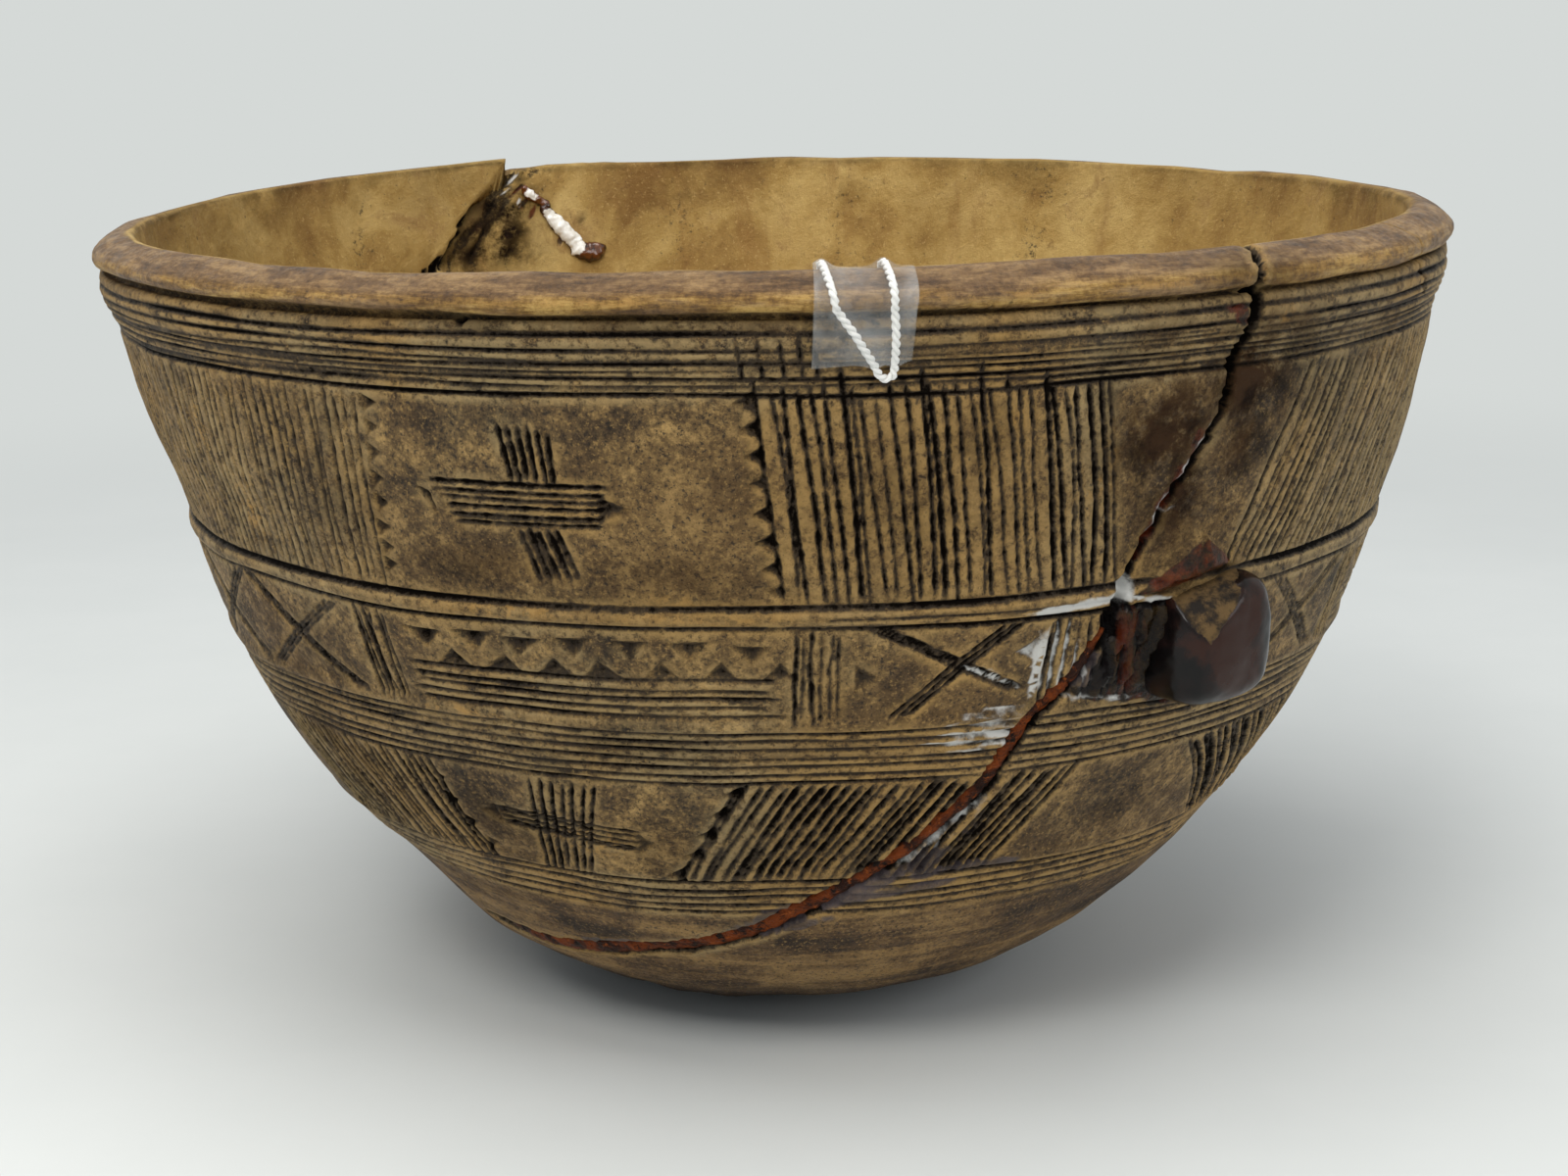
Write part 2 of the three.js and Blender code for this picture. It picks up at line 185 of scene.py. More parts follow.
def meridian():
    """(radius, height, spacing) from the base, up the outside, over the lip and down to the floor."""
    base = np.array([(AXIS_RADIUS, 0.0), (BASE_FLAT_RADIUS - 0.5, 0.0)])
    wall_z = WALL_TOP_HEIGHT * np.linspace(0.0, 1.0, PROFILE_SAMPLES)[1:-1] ** PROFILE_CROWDING
    wall = np.column_stack([outer_radius(wall_z), wall_z])
    lip = rounded(LIP_SECTION)
    inner_rise = LIP_SECTION[-1][1] - 1.0 - FLOOR_THICKNESS
    inner_z = FLOOR_THICKNESS + inner_rise * np.linspace(1.0, 0.0, PROFILE_SAMPLES) ** PROFILE_CROWDING
    inner = np.column_stack([inner_radius(inner_z), inner_z])
    inner = inner[inner[:, 0] > AXIS_RADIUS]
    line = np.vstack([base, wall, lip, inner])
    spacing = np.concatenate([
        np.full(len(base), BASE_STEP), np.full(len(wall), WALL_STEP),
        np.full(len(lip), LIP_STEP), np.full(len(inner), INNER_STEP),
    ])
    length = np.concatenate([[0.0], np.cumsum(np.hypot(*np.diff(line, axis=0).T))])
    steps = np.concatenate([[0.0], np.cumsum(np.diff(length) / (0.5 * (spacing[1:] + spacing[:-1])))])
    at = np.interp(np.linspace(0.0, steps[-1], int(steps[-1]) + 1), steps, length)
    return np.interp(at, length, line[:, 0]), np.interp(at, length, line[:, 1]), at


def azimuth_columns():
    edges = sorted({-180.0, 180.0, *[a for span in FINE_AZIMUTHS for a in span]})
    columns = []
    for low, high in zip(edges, edges[1:]):
        fine = any(a <= low and high <= b for a, b in FINE_AZIMUTHS)
        step = FINE_AZIMUTH_STEP if fine else PLAIN_AZIMUTH_STEP
        columns.append(np.linspace(low, high, int(round((high - low) / step)), endpoint=False))
    return np.concatenate(columns)


ROW_R, ROW_Z, ROW_S = meridian()
AZ = azimuth_columns()
CREST_ROW = int(np.argmax(ROW_Z))
SHAPE = (len(ROW_Z), len(AZ))
FIELDS = {
    name: np.zeros(SHAPE, np.float32)
    for name in ("cut", "chip", "crack", "rise", "form", "resin", "smear", "amber", "white", "dark", "bare_and_highlight")
}


def wave(amount, low=1, high=14):
    """A smooth wander round the bowl, the same at azimuth -180 and 180."""
    total = np.zeros(len(AZ))
    for k in range(low, high + 1):
        total += RNG.normal() / math.sqrt(k) * np.sin(np.radians(k * AZ) + RNG.uniform(0, 2 * np.pi))
    return amount * total / max(np.abs(total).max(), 1e-6)


def mottle(down, around):
    """Smooth random blotches over the whole surface, about -1 to 1."""
    cells = RNG.uniform(-1.0, 1.0, (down + 2, around))
    u = np.linspace(0.0, down, SHAPE[0])
    v = (AZ + 180.0) / 360.0 * around
    i, j = u.astype(int), v.astype(int) % around
    fu, fv = smooth(u - i, 0, 1)[:, None], smooth(v - np.floor(v), 0, 1)[None, :]
    k = (j + 1) % around
    top = cells[i][:, j] * (1 - fv) + cells[i][:, k] * fv
    low = cells[i + 1][:, j] * (1 - fv) + cells[i + 1][:, k] * fv
    return (top * (1 - fu) + low * fu).astype(np.float32)


def blurred(field, rows, columns):
    """A box average over a few rows and columns, going round at the seam."""
    padded = np.pad(field, ((rows, rows), (0, 0)), mode="edge")
    padded = np.pad(padded, ((0, 0), (columns, columns)), mode="wrap")
    total = np.cumsum(np.cumsum(padded.astype(np.float64), axis=0), axis=1)
    total = np.pad(total, ((1, 0), (1, 0)))
    h, w = 2 * rows + 1, 2 * columns + 1
    box = total[h:, w:] - total[:-h, w:] - total[h:, :-w] + total[:-h, :-w]
    return (box / (h * w)).astype(np.float32)


def within_half_turn(points):
    """The points with their azimuths brought to between -180 and 180, all by the same turn."""
    shift = 360.0 * round(np.mean([a for a, _ in points]) / 360.0)
    return [(a - shift, z) for a, z in points]


# How soon, in degrees, a line that goes part of the way round fades at its ends
SPAN_FADE = 0.6


class Face:
    """One side of the wall. Marks are placed by azimuth in degrees and height in millimetres."""

    def __init__(self, first, last):
        self.first = first
        self.z, self.r, self.s = ROW_Z[first:last], ROW_R[first:last], ROW_S[first:last]
        order = np.argsort(self.z)
        self.sorted_z, self.sorted_s = self.z[order], self.s[order]

    def along(self, z):
        return np.interp(z, self.sorted_z, self.sorted_s)

    def window(self, field, azimuths, heights, pad):
        """The part of a field near some points, with its local azimuth, radius and length grids."""
        rows = np.flatnonzero((self.z >= min(heights) - pad) & (self.z <= max(heights) + pad))
        if not len(rows):
            return None
        rows = slice(rows[0], rows[-1] + 1)
        turn = math.degrees(1.3 * pad / max(self.r[rows].min(), 5.0))
        cols = slice(*np.searchsorted(AZ, (min(azimuths) - turn, max(azimuths) + turn)))
        if cols.start >= cols.stop:
            return None
        view = FIELDS[field][self.first + rows.start:self.first + rows.stop, cols]
        return view, AZ[None, cols], self.r[rows, None], self.s[rows, None]

    def groove(self, points, half_width, depth, field="cut", taper=2.5, power=0.85):
        """A cut along a line of points: a V across, and shallower towards both ends."""
        points = within_half_turn(points)
        lengths = [0.0]
        for (a0, z0), (a1, z1) in zip(points, points[1:]):
            reach = math.radians(a1 - a0) * float(outer_radius(max(0.5 * (z0 + z1), 1.0)))
            lengths.append(lengths[-1] + math.hypot(reach, float(self.along(z1) - self.along(z0))))
        whole = lengths[-1]
        phase, wave_a, wave_b = RNG.uniform(0, 6.3), RNG.uniform(0.5, 1.0), RNG.uniform(1.4, 2.4)
        for i, ((a0, z0), (a1, z1)) in enumerate(zip(points, points[1:])):
            found = self.window(field, (a0, a1), (z0, z1), half_width + 0.6)
            if found is None:
                continue
            view, az, r, s = found
            s0, s1 = self.along(z0), self.along(z1)
            x, dx = np.radians(az - a0) * r, math.radians(a1 - a0) * r
            y, dy = s - s0, s1 - s0
            t = np.clip((x * dx + y * dy) / np.maximum(dx * dx + dy * dy, 1e-6), 0.0, 1.0)
            gap = np.hypot(x - t * dx, y - t * dy)
            run = lengths[i] + t * (lengths[i + 1] - lengths[i])
            ends = np.clip(np.minimum(run, whole - run) / max(taper, 1e-3), 0.0, 1.0) * 0.7 + 0.3
            uneven = 1.0 + 0.22 * np.sin(run * wave_a + phase) + 0.16 * np.sin(run * wave_b + 2.0 * phase)
            value = depth * ends * uneven * np.clip(1.0 - gap / half_width, 0.0, 1.0) ** power
            np.maximum(view, value.astype(np.float32), out=view)

    def ring(self, z, half_width, depth, wobble=0.35, field="cut", span=None, power=0.85):
        """A line round the bowl, or round part of it, that wanders a little and changes in depth."""
        path = z + wave(wobble)
        strength = np.clip(depth * (1.0 + wave(0.45, 2, 30)), 0.0, None)
        if span:
            strength = strength * smooth(AZ, span[0] - SPAN_FADE, span[0] + SPAN_FADE)
            strength = strength * smooth(-AZ, -span[1] - SPAN_FADE, -span[1] + SPAN_FADE)
        pad = half_width + wobble + 0.6
        rows = np.flatnonzero((self.z >= z - pad) & (self.z <= z + pad))
        view = FIELDS[field][self.first + rows[0]:self.first + rows[-1] + 1]
        gap = np.abs(self.s[rows, None] - self.along(path)[None, :])
        value = strength[None, :] * np.clip(1.0 - gap / half_width, 0.0, 1.0) ** power
        np.maximum(view, value.astype(np.float32), out=view)

    def chip(self, corners, depth, field="chip"):
        """A three-cornered chip, deepest in its middle."""
        corners = within_half_turn(corners)
        found = self.window(field, [a for a, _ in corners], [z for _, z in corners], 0.5)
        if found is None:
            return
        view, az, r, s = found
        ca = np.mean([a for a, _ in corners])
        x, y = np.radians(az - ca) * r, s + 0.0 * az
        px = [math.radians(a - ca) * float(r.mean()) for a, _ in corners]
        py = [float(self.along(z)) for _, z in corners]
        area = (px[1] - px[0]) * (py[2] - py[0]) - (px[2] - px[0]) * (py[1] - py[0])
        shares = []
        for i in range(3):
            j, k = (i + 1) % 3, (i + 2) % 3
            shares.append(((px[j] - x) * (py[k] - y) - (px[k] - x) * (py[j] - y)) / area)
        inside = np.clip(3.0 * np.minimum(np.minimum(shares[0], shares[1]), shares[2]), 0.0, 1.0)
        np.maximum(view, (depth * inside**0.7).astype(np.float32), out=view)

    def dab(self, a, z, wide, tall, amount, field):
        """A soft oval patch, in millimetres."""
        found = self.window(field, (a,), (z,), 1.6 * max(wide, tall))
        if found is None:
            return
        view, az, r, s = found
        x, y = np.radians(az - a) * r / wide, (s - self.along(z)) / tall
        np.maximum(view, (amount * np.exp(-(x * x + y * y))).astype(np.float32), out=view)

    # Groups of marks

    def dabs(self, field, *patches):
        """Soft patches in one field, each as (azimuth, height, wide, tall, amount)."""
        for patch in patches:
            self.dab(*patch, field)

    def hatch(self, top, bottom, heights, count, half_width, depth, ragged=1.2, overrun=None, power=0.75):
        """Lines side by side, spread over one span of azimuth at the top and another at the bottom."""
        low, high = heights
        for i in range(count):
            t = (i + 0.5) / count
            a1 = top[0] + (top[1] - top[0]) * t + RNG.normal(0, 0.13)
            a0 = bottom[0] + (bottom[1] - bottom[0]) * t + RNG.normal(0, 0.13)
            z1, z0 = high + RNG.normal(0, 0.4) * ragged, low + RNG.normal(0, 0.3) * ragged
            if overrun:
                z1 += overrun * RNG.uniform(0, 1) ** 2
            bow = RNG.normal(0, 0.14)
            line = []
            for k in np.linspace(0.0, 1.0, 6):
                wander = 4.0 * bow * k * (1.0 - k) + RNG.normal(0, 0.05)
                line.append((a1 + (a0 - a1) * k + wander, z1 + (z0 - z1) * k))
            size = RNG.uniform(0.65, 1.3)
            self.groove(line, half_width * (0.6 + 0.4 * size), depth * size, power=power)

    def notches(self, tips, side, deep=1.5, reach=1.45, tall=4.4):
        """Small chips in a row. side is 1 where they point towards +azimuth."""
        for a, z in tips:
            back = a - side * reach * RNG.uniform(0.9, 1.15)
            half = 0.5 * tall * RNG.uniform(0.9, 1.1)
            self.chip([(a, z), (back, z + half), (back, z - half)], deep * RNG.uniform(0.8, 1.15))

    def bar(self, first, last, count, half_width, depth):
        """Close lines side by side, from the first line to the last."""
        for t in np.linspace(0.0, 1.0, count):
            line = [tuple(np.add(np.multiply(p, 1 - t), np.multiply(q, t))) for p, q in zip(first, last)]
            line = [(a + RNG.normal(0, 0.05), z + RNG.normal(0, 0.25)) for a, z in line]
            width, deep = half_width * RNG.uniform(0.85, 1.15), depth * RNG.uniform(0.85, 1.15)
            self.groove(line, width, deep, taper=1.5)

    def upper_cross(self, a):
        """Two hatched bars that cross, with a chip at each end of the level one."""
        self.bar([(a - 1.7, 158.6), (a - 1.2, 146.6)], [(a + 2.1, 157.6), (a + 2.2, 146.6)], 6, 0.84, 1.35)
        self.bar([(a - 8.3, 146.2), (a + 6.2, 145.8)], [(a - 6.4, 137.8), (a + 5.6, 138)], 6, 0.7, 1.2)
        self.bar([(a - 1.2, 137), (a - 0.1, 125.4)], [(a + 1.7, 137.2), (a + 3.1, 126.4)], 5, 0.95, 1.4)
        self.chip([(a + 8.1, 141.6), (a + 5.2, 144.8), (a + 5.2, 138.7)], 2.2)
        self.chip([(a - 9.7, 144.8), (a - 8.5, 144), (a - 7.9, 138)], 2.2)

    def lower_cross(self, a):
        self.bar([(a - 3.7, 78.4), (a - 6, 53.8)], [(a + 3.1, 78.2), (a - 0.4, 54.4)], 7, 0.64, 1.35)
        self.bar([(a - 9.4, 69.6), (a + 6.6, 66.8)], [(a - 8.6, 65), (a + 6.2, 61.4)], 5, 0.56, 1.5)
        self.chip([(a - 11.4, 68.2), (a - 9.2, 70.4), (a - 8.8, 64.8)], 1.7)
        self.chip([(a + 8.3, 63.4), (a + 6.2, 67), (a + 6, 60.8)], 2)

    def zigzag(self, a0, a1, top=113.2, bottom=105.0):
        """Two rows of chips that leave a zigzag standing, over a few level lines."""
        count = max(int(round((a1 - a0) / 4.8)), 2)
        pitch = (a1 - a0) / count
        for i in range(count):
            a = a0 + (i + 0.4) * pitch + RNG.normal(0, 0.2)
            w = 0.42 * pitch * RNG.uniform(0.85, 1.15)
            z = top + RNG.normal(0, 0.3)
            self.chip([(a - w, z), (a + w, z + RNG.normal(0, 0.2)), (a + RNG.normal(0, 0.3), z - 4.6)], 2.4)
            b = a + 0.5 * pitch
            v = 0.34 * pitch * RNG.uniform(0.85, 1.15)
            self.chip([(b - v, bottom), (b + v, bottom), (b + RNG.normal(0, 0.2), bottom + 4.2)], 2.2)
        for z in (104.6, 102.2, 100.5, 98.4, 96.5):
            self.ring(z, 0.68, 0.95, 0.25, span=(a0 - RNG.uniform(-0.5, 1.0), a1 - RNG.uniform(-0.2, 2.0)))

    def column(self, a0, a1, heights=(94.2, 115.6), count=6):
        self.hatch((a0, a1), (a0, a1), heights, count, 0.66, 1.05, ragged=1.0)

    def saltire(self, a0, a1, heights=(94.5, 116.0), lines=3):
        """A diagonal cross of close lines."""
        low, high = heights
        for start, end in (((a0, high), (a1, low)), ((a1, high), (a0, low))):
            for k in np.linspace(-0.75, 0.75, lines):
                points = [(start[0] + k, start[1]), (end[0] + k, end[1])]
                self.groove(points, RNG.uniform(0.55, 0.75), RNG.uniform(0.75, 1.05))


OUT = Face(0, CREST_ROW + 1)
IN = Face(CREST_ROW, len(ROW_Z))


def carve_rings():
    for z, depth, width in (
        (176.6, 1.2, 0.7), (174, 1, 0.6), (172.2, 0.7, 0.5), (170.9, 1, 0.55), (169.5, 0.8, 0.5),
        (168, 1, 0.6), (166.4, 0.9, 0.55), (164.7, 1.2, 0.7),
    ):
        OUT.ring(z, width, depth, 0.5)
    OUT.ring(172.8, 0.45, 0.5, 0.4, span=(5, 34))
    OUT.ring(167.2, 0.45, 0.5, 0.4, span=(-60, -25))
    OUT.ring(120.9, 0.95, 1.4, 0.45)
    OUT.ring(116.3, 0.85, 1.3, 0.45)
    OUT.ring(118.6, 2.6, 0.8, 0.4, field="rise", power=0.5)
    OUT.ring(118.2, 0.5, 0.55, 0.4, span=(4, 34))
    for z, depth in (
        (92.2, 1), (90.4, 0.75), (88.4, 0.8), (86.2, 0.8), (84.1, 0.8), (82.1, 0.75), (80.2, 0.95),
    ):
        OUT.ring(z, 0.68, 1.2 * depth, 0.45)
    OUT.ring(94, 2.2, 0.6, 0.4, field="rise", power=0.5)
    for z, depth in ((53.4, 1), (51, 0.8), (48.6, 0.75), (46.4, 0.75), (43.8, 0.7)):
        OUT.ring(z, 0.85, 1.2 * depth, 0.5, power=0.6)
    OUT.ring(55.4, 2, 0.4, 0.4, field="rise", power=0.5)


def carve_upper_tier():
    low, high = UPPER_TIER
    OUT.hatch((-76, -32), (-78, -33.2), (low - 0.6, high - 0.8), 44, 0.62, 0.75, ragged=1.6)
    OUT.notches([(-30.4, 161.2), (-30.5, 156.1), (-30.6, 150.8), (-31, 145.2), (-31.2, 140),
                 (-31.5, 134.6), (-31.7, 130.2), (-31.8, 126.4)], 1, 2.2)
    OUT.upper_cross(-18.6)
    OUT.notches([(-3.1, 163.2), (-2.7, 158), (-2.4, 152.7), (-2.2, 147.2), (-1.9, 141), (-1.8, 135),
                 (-1.3, 129.3), (-1, 124.4)], -1, 2.4, 1.7, 5)
    OUT.hatch((-1.7, 25.2), (0.2, 28.6), (low, high), 29, 0.66, 1.2, overrun=7)
    for a in (-2.6, -1.2, 0.3, 1.6, 2.6):
        OUT.groove([(a, 177.5 - 0.5 * abs(a)), (a + 0.5, 167.2)], 0.7, 1.1)
    OUT.hatch((44.9, 79), (38.9, 73), (low, high - 1), 32, 0.68, 1.05, ragged=1.8)
    # Panels on the far side, in the same pattern
    for a in (91, 148, 205, 262):
        OUT.upper_cross(a if a < 180 else a - 360)
        OUT.notches([(a - 12.3, z) for z in np.arange(126, 163, 5.3)], 1, 1.4)
        OUT.notches([(a + 13.2, z) for z in np.arange(125, 163, 5.4)], -1, 1.7)
    for a0, a1 in ((105.5, 134), (162.5, 179.8), (180.2, 191.5), (219.5, 248.5)):
        OUT.hatch((a0, a1), (a0 + 0.5, a1 + 0.5), (low, high), int((a1 - a0) / 1.02), 0.65, 0.8)


def carve_middle_tier():
    OUT.saltire(-56, -41)
    OUT.saltire(-70, -57.5)
    OUT.column(-39.1, -34.9, count=6)
    OUT.zigzag(-33.2, 0.4)
    OUT.column(0.9, 5.4, count=6)
    OUT.chip([(8.4, 105), (6.2, 108.6), (6.2, 101.4)], 1.6)
    for k in (-0.6, 0.15, 0.8):
        OUT.groove([(7.6 + k, 116), (14 + k, 108.2), (20.9 + k, 99.8)], 0.7, 0.95)
        OUT.groove([(19.7 + k, 116), (14.9 + k, 106.4), (9.8 + k, 95)], 0.7, 1)
    OUT.chip([(19.4, 108.6), (21.8, 112), (21.8, 105.4)], 1.3)
    OUT.hatch((22, 31.6), (22.6, 32.6), (95.5, 115.8), 10, 0.66, 1)
    OUT.saltire(48, 60)
    # Panels on the far side
    for a in (61.5, 102, 121.5, 162, 186, 226, 246, 285):
        OUT.column(a, a + 4.2)
    for a in (67, 127, 192, 251.5):
        turn = 0 if a < 180 else 360
        OUT.zigzag(a - turn, a + 33.2 - turn)
    for a in (107.5, 167.5, 231.5):
        OUT.saltire(a, a + 12)


def carve_lower_tier():
    low, high = LOWER_TIER
    OUT.hatch((-64, -36), (-60, -33.4), (low, high), 24, 0.8, 1.3, power=0.55)
    OUT.lower_cross(-20.9)
    OUT.notches([(-5.5, 77.2), (-7, 72), (-8.6, 66.6), (-10.2, 61), (-12.4, 55.6)], -1, 2.2, 2, 4.6)
    OUT.notches([(-35, 75), (-34.6, 69.5), (-33.4, 64), (-32, 58.4)], 1, 2, 1.7, 4)
    OUT.hatch((-4.4, 30.2), (-11.6, 23), (low, high), 30, 0.82, 1.15, power=0.5)
    OUT.hatch((43.5, 66), (54, 76), (low, high), 19, 0.8, 1.1, power=0.5)
    for a in (86, 150, 207, 270):
        OUT.lower_cross(a if a < 180 else a - 360)
    for a0, a1 in ((98, 132), (163, 179.6), (180.4, 193), (221, 254)):
        OUT.hatch((a0 + 5, a1 + 5), (a0 - 2, a1 - 2), (low, high), int((a1 - a0) / 1.2), 0.7, 0.85)


def densified(points, step=1.2):
    """Extra points along a line, each pushed a little to one side, so that a crack looks torn."""
    out = []
    for (a0, z0), (a1, z1) in zip(points, points[1:]):
        n = max(int(math.hypot((a1 - a0) * 2.3, z1 - z0) / step), 1)
        for i in range(n):
            t = i / n
            out.append((a0 + (a1 - a0) * t + RNG.normal(0, 0.16), z0 + (z1 - z0) * t + RNG.normal(0, 0.25)))
    return [*out, points[-1]]


def open_cracks():
    upper = densified([p for p in FRONT_CRACK if p[1] > 153])
    middle = densified([p for p in FRONT_CRACK if 115 < p[1] < 158])
    lower = densified([p for p in FRONT_CRACK if p[1] < 122])
    OUT.groove(upper, 1.15, 4.6, "crack", 0.1, 0.35)
    OUT.groove([p for p in upper if 173 < p[1] < 181], 1.9, 4.4, "crack", 3, 0.5)
    OUT.groove(middle, 1.05, 2.6, "crack", 0.1, 0.45)
    OUT.groove(lower, 2, 3.2, "crack", 0.1, 0.4)
    OUT.groove([p for p in lower if p[1] < 50], 3, 3.2, "crack", 12, 0.4)
    IN.groove([p for p in FRONT_CRACK if p[1] > 20], 1.5, 2, "crack", 8, 0.5)
    back = densified([(a if z < LEAN_FROM else LEAN_COLUMN, z) for a, z in BACK_CRACK if z < 177])
    for face in (OUT, IN):
        face.groove(back, 0.95, 2.6, "crack", 6, 0.4)
    hairline = densified([(60.6, 180), (61.6, 176.5), (63.2, 173.4), (64.3, 171.4)])
    OUT.groove(hairline, 0.5, 1.6, "crack", 1)
    OUT.groove(densified([(58.5, 188), (59.8, 184), (60.6, 180)]), 0.4, 0.8, "crack", 1)
    OUT.dab(-22.1, 178.6, 1, 0.8, 2, "crack")
    for a in (9.6, 11.4, 13, 14.6, 15.8):
        OUT.groove([(a, 179.8), (a + 0.4, 181.8)], 0.5, 0.7)
    for a in (-170, -128, -100, 148, 120, 172):
        IN.groove(densified([(a, 187), (a + 0.6, 172), (a + 0.2, 150)], 3), 0.3, 0.4, taper=12)


def smear_finishes_and_painted_light():
    """Resin, white residue, dark stains and bare wood, with painted shade and painted highlights, as the
    masks that colour the surface.
    """
    # Resin in upright ridges between the crack and the lug, and an amber patch above them
    for a, width in ((29.2, 2.4), (31.2, 2.2), (32.9, 2.8), (34.8, 2.6)):
        ridge = [(a + 0.9, 116.6), (a + 0.3, 106), (a - 0.4, 96.8)]
        OUT.groove(ridge, 1.5 * width, 1.1, "resin", 2, 0.4)
        OUT.groove(ridge, 0.5 * width, 2.1, "rise", 3, 0.6)
    OUT.groove([(25.6, 98.4), (30, 96.4), (36, 95)], 2.2, 1, "resin", 3, 0.5)
    OUT.dab(LUG_AZIMUTH - 0.6, LUG_HEIGHT - 2, 12.5, 13.5, 1.3, "resin")
    OUT.dab(LUG_AZIMUTH, LUG_HEIGHT, 11.5, 13.5, 3, "rise")
    for patch in (
        [(29.4, 117.4), (36.2, 129), (37.4, 120.4)],
        [(34, 119.4), (36.6, 129.6), (40.6, 122.4)],
    ):
        OUT.chip(patch, 2.2, "amber")
        OUT.chip(patch, 3, "rise")
    # A dark line under the raised amber patch: painted shadow below its edge
    OUT.groove([(31.6, 117.4), (36, 120.6), (40.6, 121.6)], 1.3, 1.2, "dark", 3, 0.6)
    OUT.groove([(33.2, 176.8), (35.6, 176), (36.2, 172)], 2.2, 0.8, "amber", 2, 0.7)
    beside_crack = [(34.6, 157), (33.2, 147), (31.2, 137), (30.2, 130), (29.6, 122)]
    OUT.groove(beside_crack, 3.4, 0.6, "amber", 6, 0.8)
    # Purple-grey smears beside the lower crack
    OUT.dab(27.6, 101.5, 6.5, 5.5, 1.1, "smear")
    for line, width, amount, taper, power in (
        ([(21.5, 69), (16.8, 59.5), (9, 51), (0, 43), (-9, 36.6)], 4.6, 0.95, 16, 0.7),
        ([(27.5, 55), (19, 54.4), (12, 53.4)], 2.2, 1.1, 7, 0.6),
        ([(22, 51.6), (10, 48.4), (3, 44.6)], 1.9, 1, 7, 0.6),
        ([(7, 43), (-4, 36.6), (-14, 31.4)], 2.6, 1, 9, 0.6),
        ([(-18, 31.4), (-28, 29), (-36, 28)], 2.6, 0.9, 9, 0.7),
    ):
        OUT.groove(line, width, amount, "smear", taper, power)
    # White residue
    for line, width, amount in (
        ([(20.4, 116.8), (25, 118), (29.4, 119)], 1.3, 1.4),
        ([(29.6, 118.6), (31.4, 117.2), (34.4, 116.6)], 0.8, 1.3),
        ([(14.6, 107.2), (18, 103.6), (21.4, 99.8)], 0.8, 1),
        ([(16.6, 107), (20.6, 102.6)], 0.5, 0.7),
        ([(24, 97.4), (30, 95.4), (35, 94.4)], 1, 0.6),
        ([(27.8, 107), (28.6, 115)], 0.6, 0.7),
        ([(33, 137.4), (30.6, 135)], 0.9, 0.9),
    ):
        OUT.groove(line, width, amount, "white", 3, 0.6)
    OUT.dab(29.2, 119.2, 1.9, 3.2, 1.5, "white")
    for a, amount in ((21.7, 1), (22.5, 0.9), (23.4, 0.8), (24.4, 0.8), (25.6, 0.55), (27, 0.5)):
        OUT.groove([(a, 115), (a + 0.1, 105), (a + 0.3, 96.4)], 0.6, 1.3 * amount, "white", 5, 0.5)
    OUT.chip([(19.6, 108.6), (21.7, 111.6), (21.7, 105.6)], 0.9, "white")
    for z in np.arange(86, 96.4, 0.58):
        start = 10 + RNG.uniform(0, 5.5)
        scrape = [(start, z), (21.4 + RNG.uniform(0, 2), z + 0.6)]
        OUT.groove(scrape, 0.27, RNG.uniform(0.5, 1.4), "white", 6, 0.6)
    white_edge = [p for p in FRONT_CRACK if 126 < p[1] < 160]
    OUT.groove([(a - 0.45, z) for a, z in white_edge], 0.7, 0.8, "white", 4, 0.6)
    beside = [(a + 1.1, z - 1) for a, z in FRONT_CRACK if 56 < z < 82]
    OUT.groove(densified(beside), 1.5, 0.62, "white", 5, 0.6)
    OUT.groove([(a + 1.5, z) for a, z in beside], 0.8, 0.5, "white", 5, 0.6)
    IN.groove([(-142.8, 187), (-143.2, 183), (-143.6, 180.5)], 0.8, 1.2, "white", 1, 0.6)
    IN.groove([(-146, 179.4), (-147.4, 176.6)], 0.8, 1.1, "white", 0.6, 0.6)
    IN.dabs("white", (172, 176, 2.2, 4, 0.4), (175, 172, 1.4, 4.5, 0.35))
    # Dark stains on the outside, and painted shade as a thin band in the groove under the lip
    OUT.dabs(
        "dark",
        (30.5, 153, 17, 17, 1.2), (38, 162, 17, 15, 1.2), (33, 139, 13, 15, 1.1),
        (41, 169, 18, 8, 0.9), (31, 171, 18, 8, 0.75), (38, 136, 5, 5, 1.2),
        (37, 184, 16, 5, 0.7), (47, 150, 9, 18, 0.4), (56, 168, 20, 8, 0.5),
        (-24, 128, 22, 6, 0.55), (-8, 127, 20, 7, 0.5), (-31, 66, 12, 13, 0.55),
        (-54, 74, 20, 24, 0.6), (-12, 63, 12, 9, 0.45), (-48, 100, 18, 14, 0.45),
        # (-10, 177.6) is painted shade: a thin dark band in the groove under the lip
        (-42, 38, 20, 8, 0.6), (12, 172, 30, 7, 0.4), (-10, 177.6, 60, 1.6, 0.7),
        (36, 66, 14, 10, 0.35), (-36, 144, 9, 16, 0.35), (12, 143, 38, 17, 0.4),
        (15, 150, 12, 14, 0.5), (4, 66, 24, 10, 0.3), (-14, 88, 40, 6, 0.25),
        (38.6, 150, 9, 16, 1), (37.2, 141, 7, 10, 0.9), (36.4, 131, 6, 8, 0.8),
        (41, 158, 10, 10, 0.8),
    )
    # Painted shade on the underside round the base, darkest near the floor
    OUT.ring(3, 27, 1.3, 1, "dark", power=0.6)
    # Torn and stained wood inside, to the right of the back crack
    IN.dabs(
        "dark",
        (-142, 185, 9, 6, 1.1), (-143, 179, 11, 7, 1.1), (-143.6, 172, 13, 7, 1.15),
        (-144, 165, 14, 6, 1.1), (-148, 169, 7, 2.6, 1.2), (-142.8, 157, 10, 7, 1),
        (-146, 179, 6, 5, 0.9), (-150.4, 163, 8, 5, 0.8),
        (-146, 176, 9, 6, 1.2), (-146.5, 170, 11, 6, 1.2), (-147.5, 165, 11, 5, 1.15),
    )
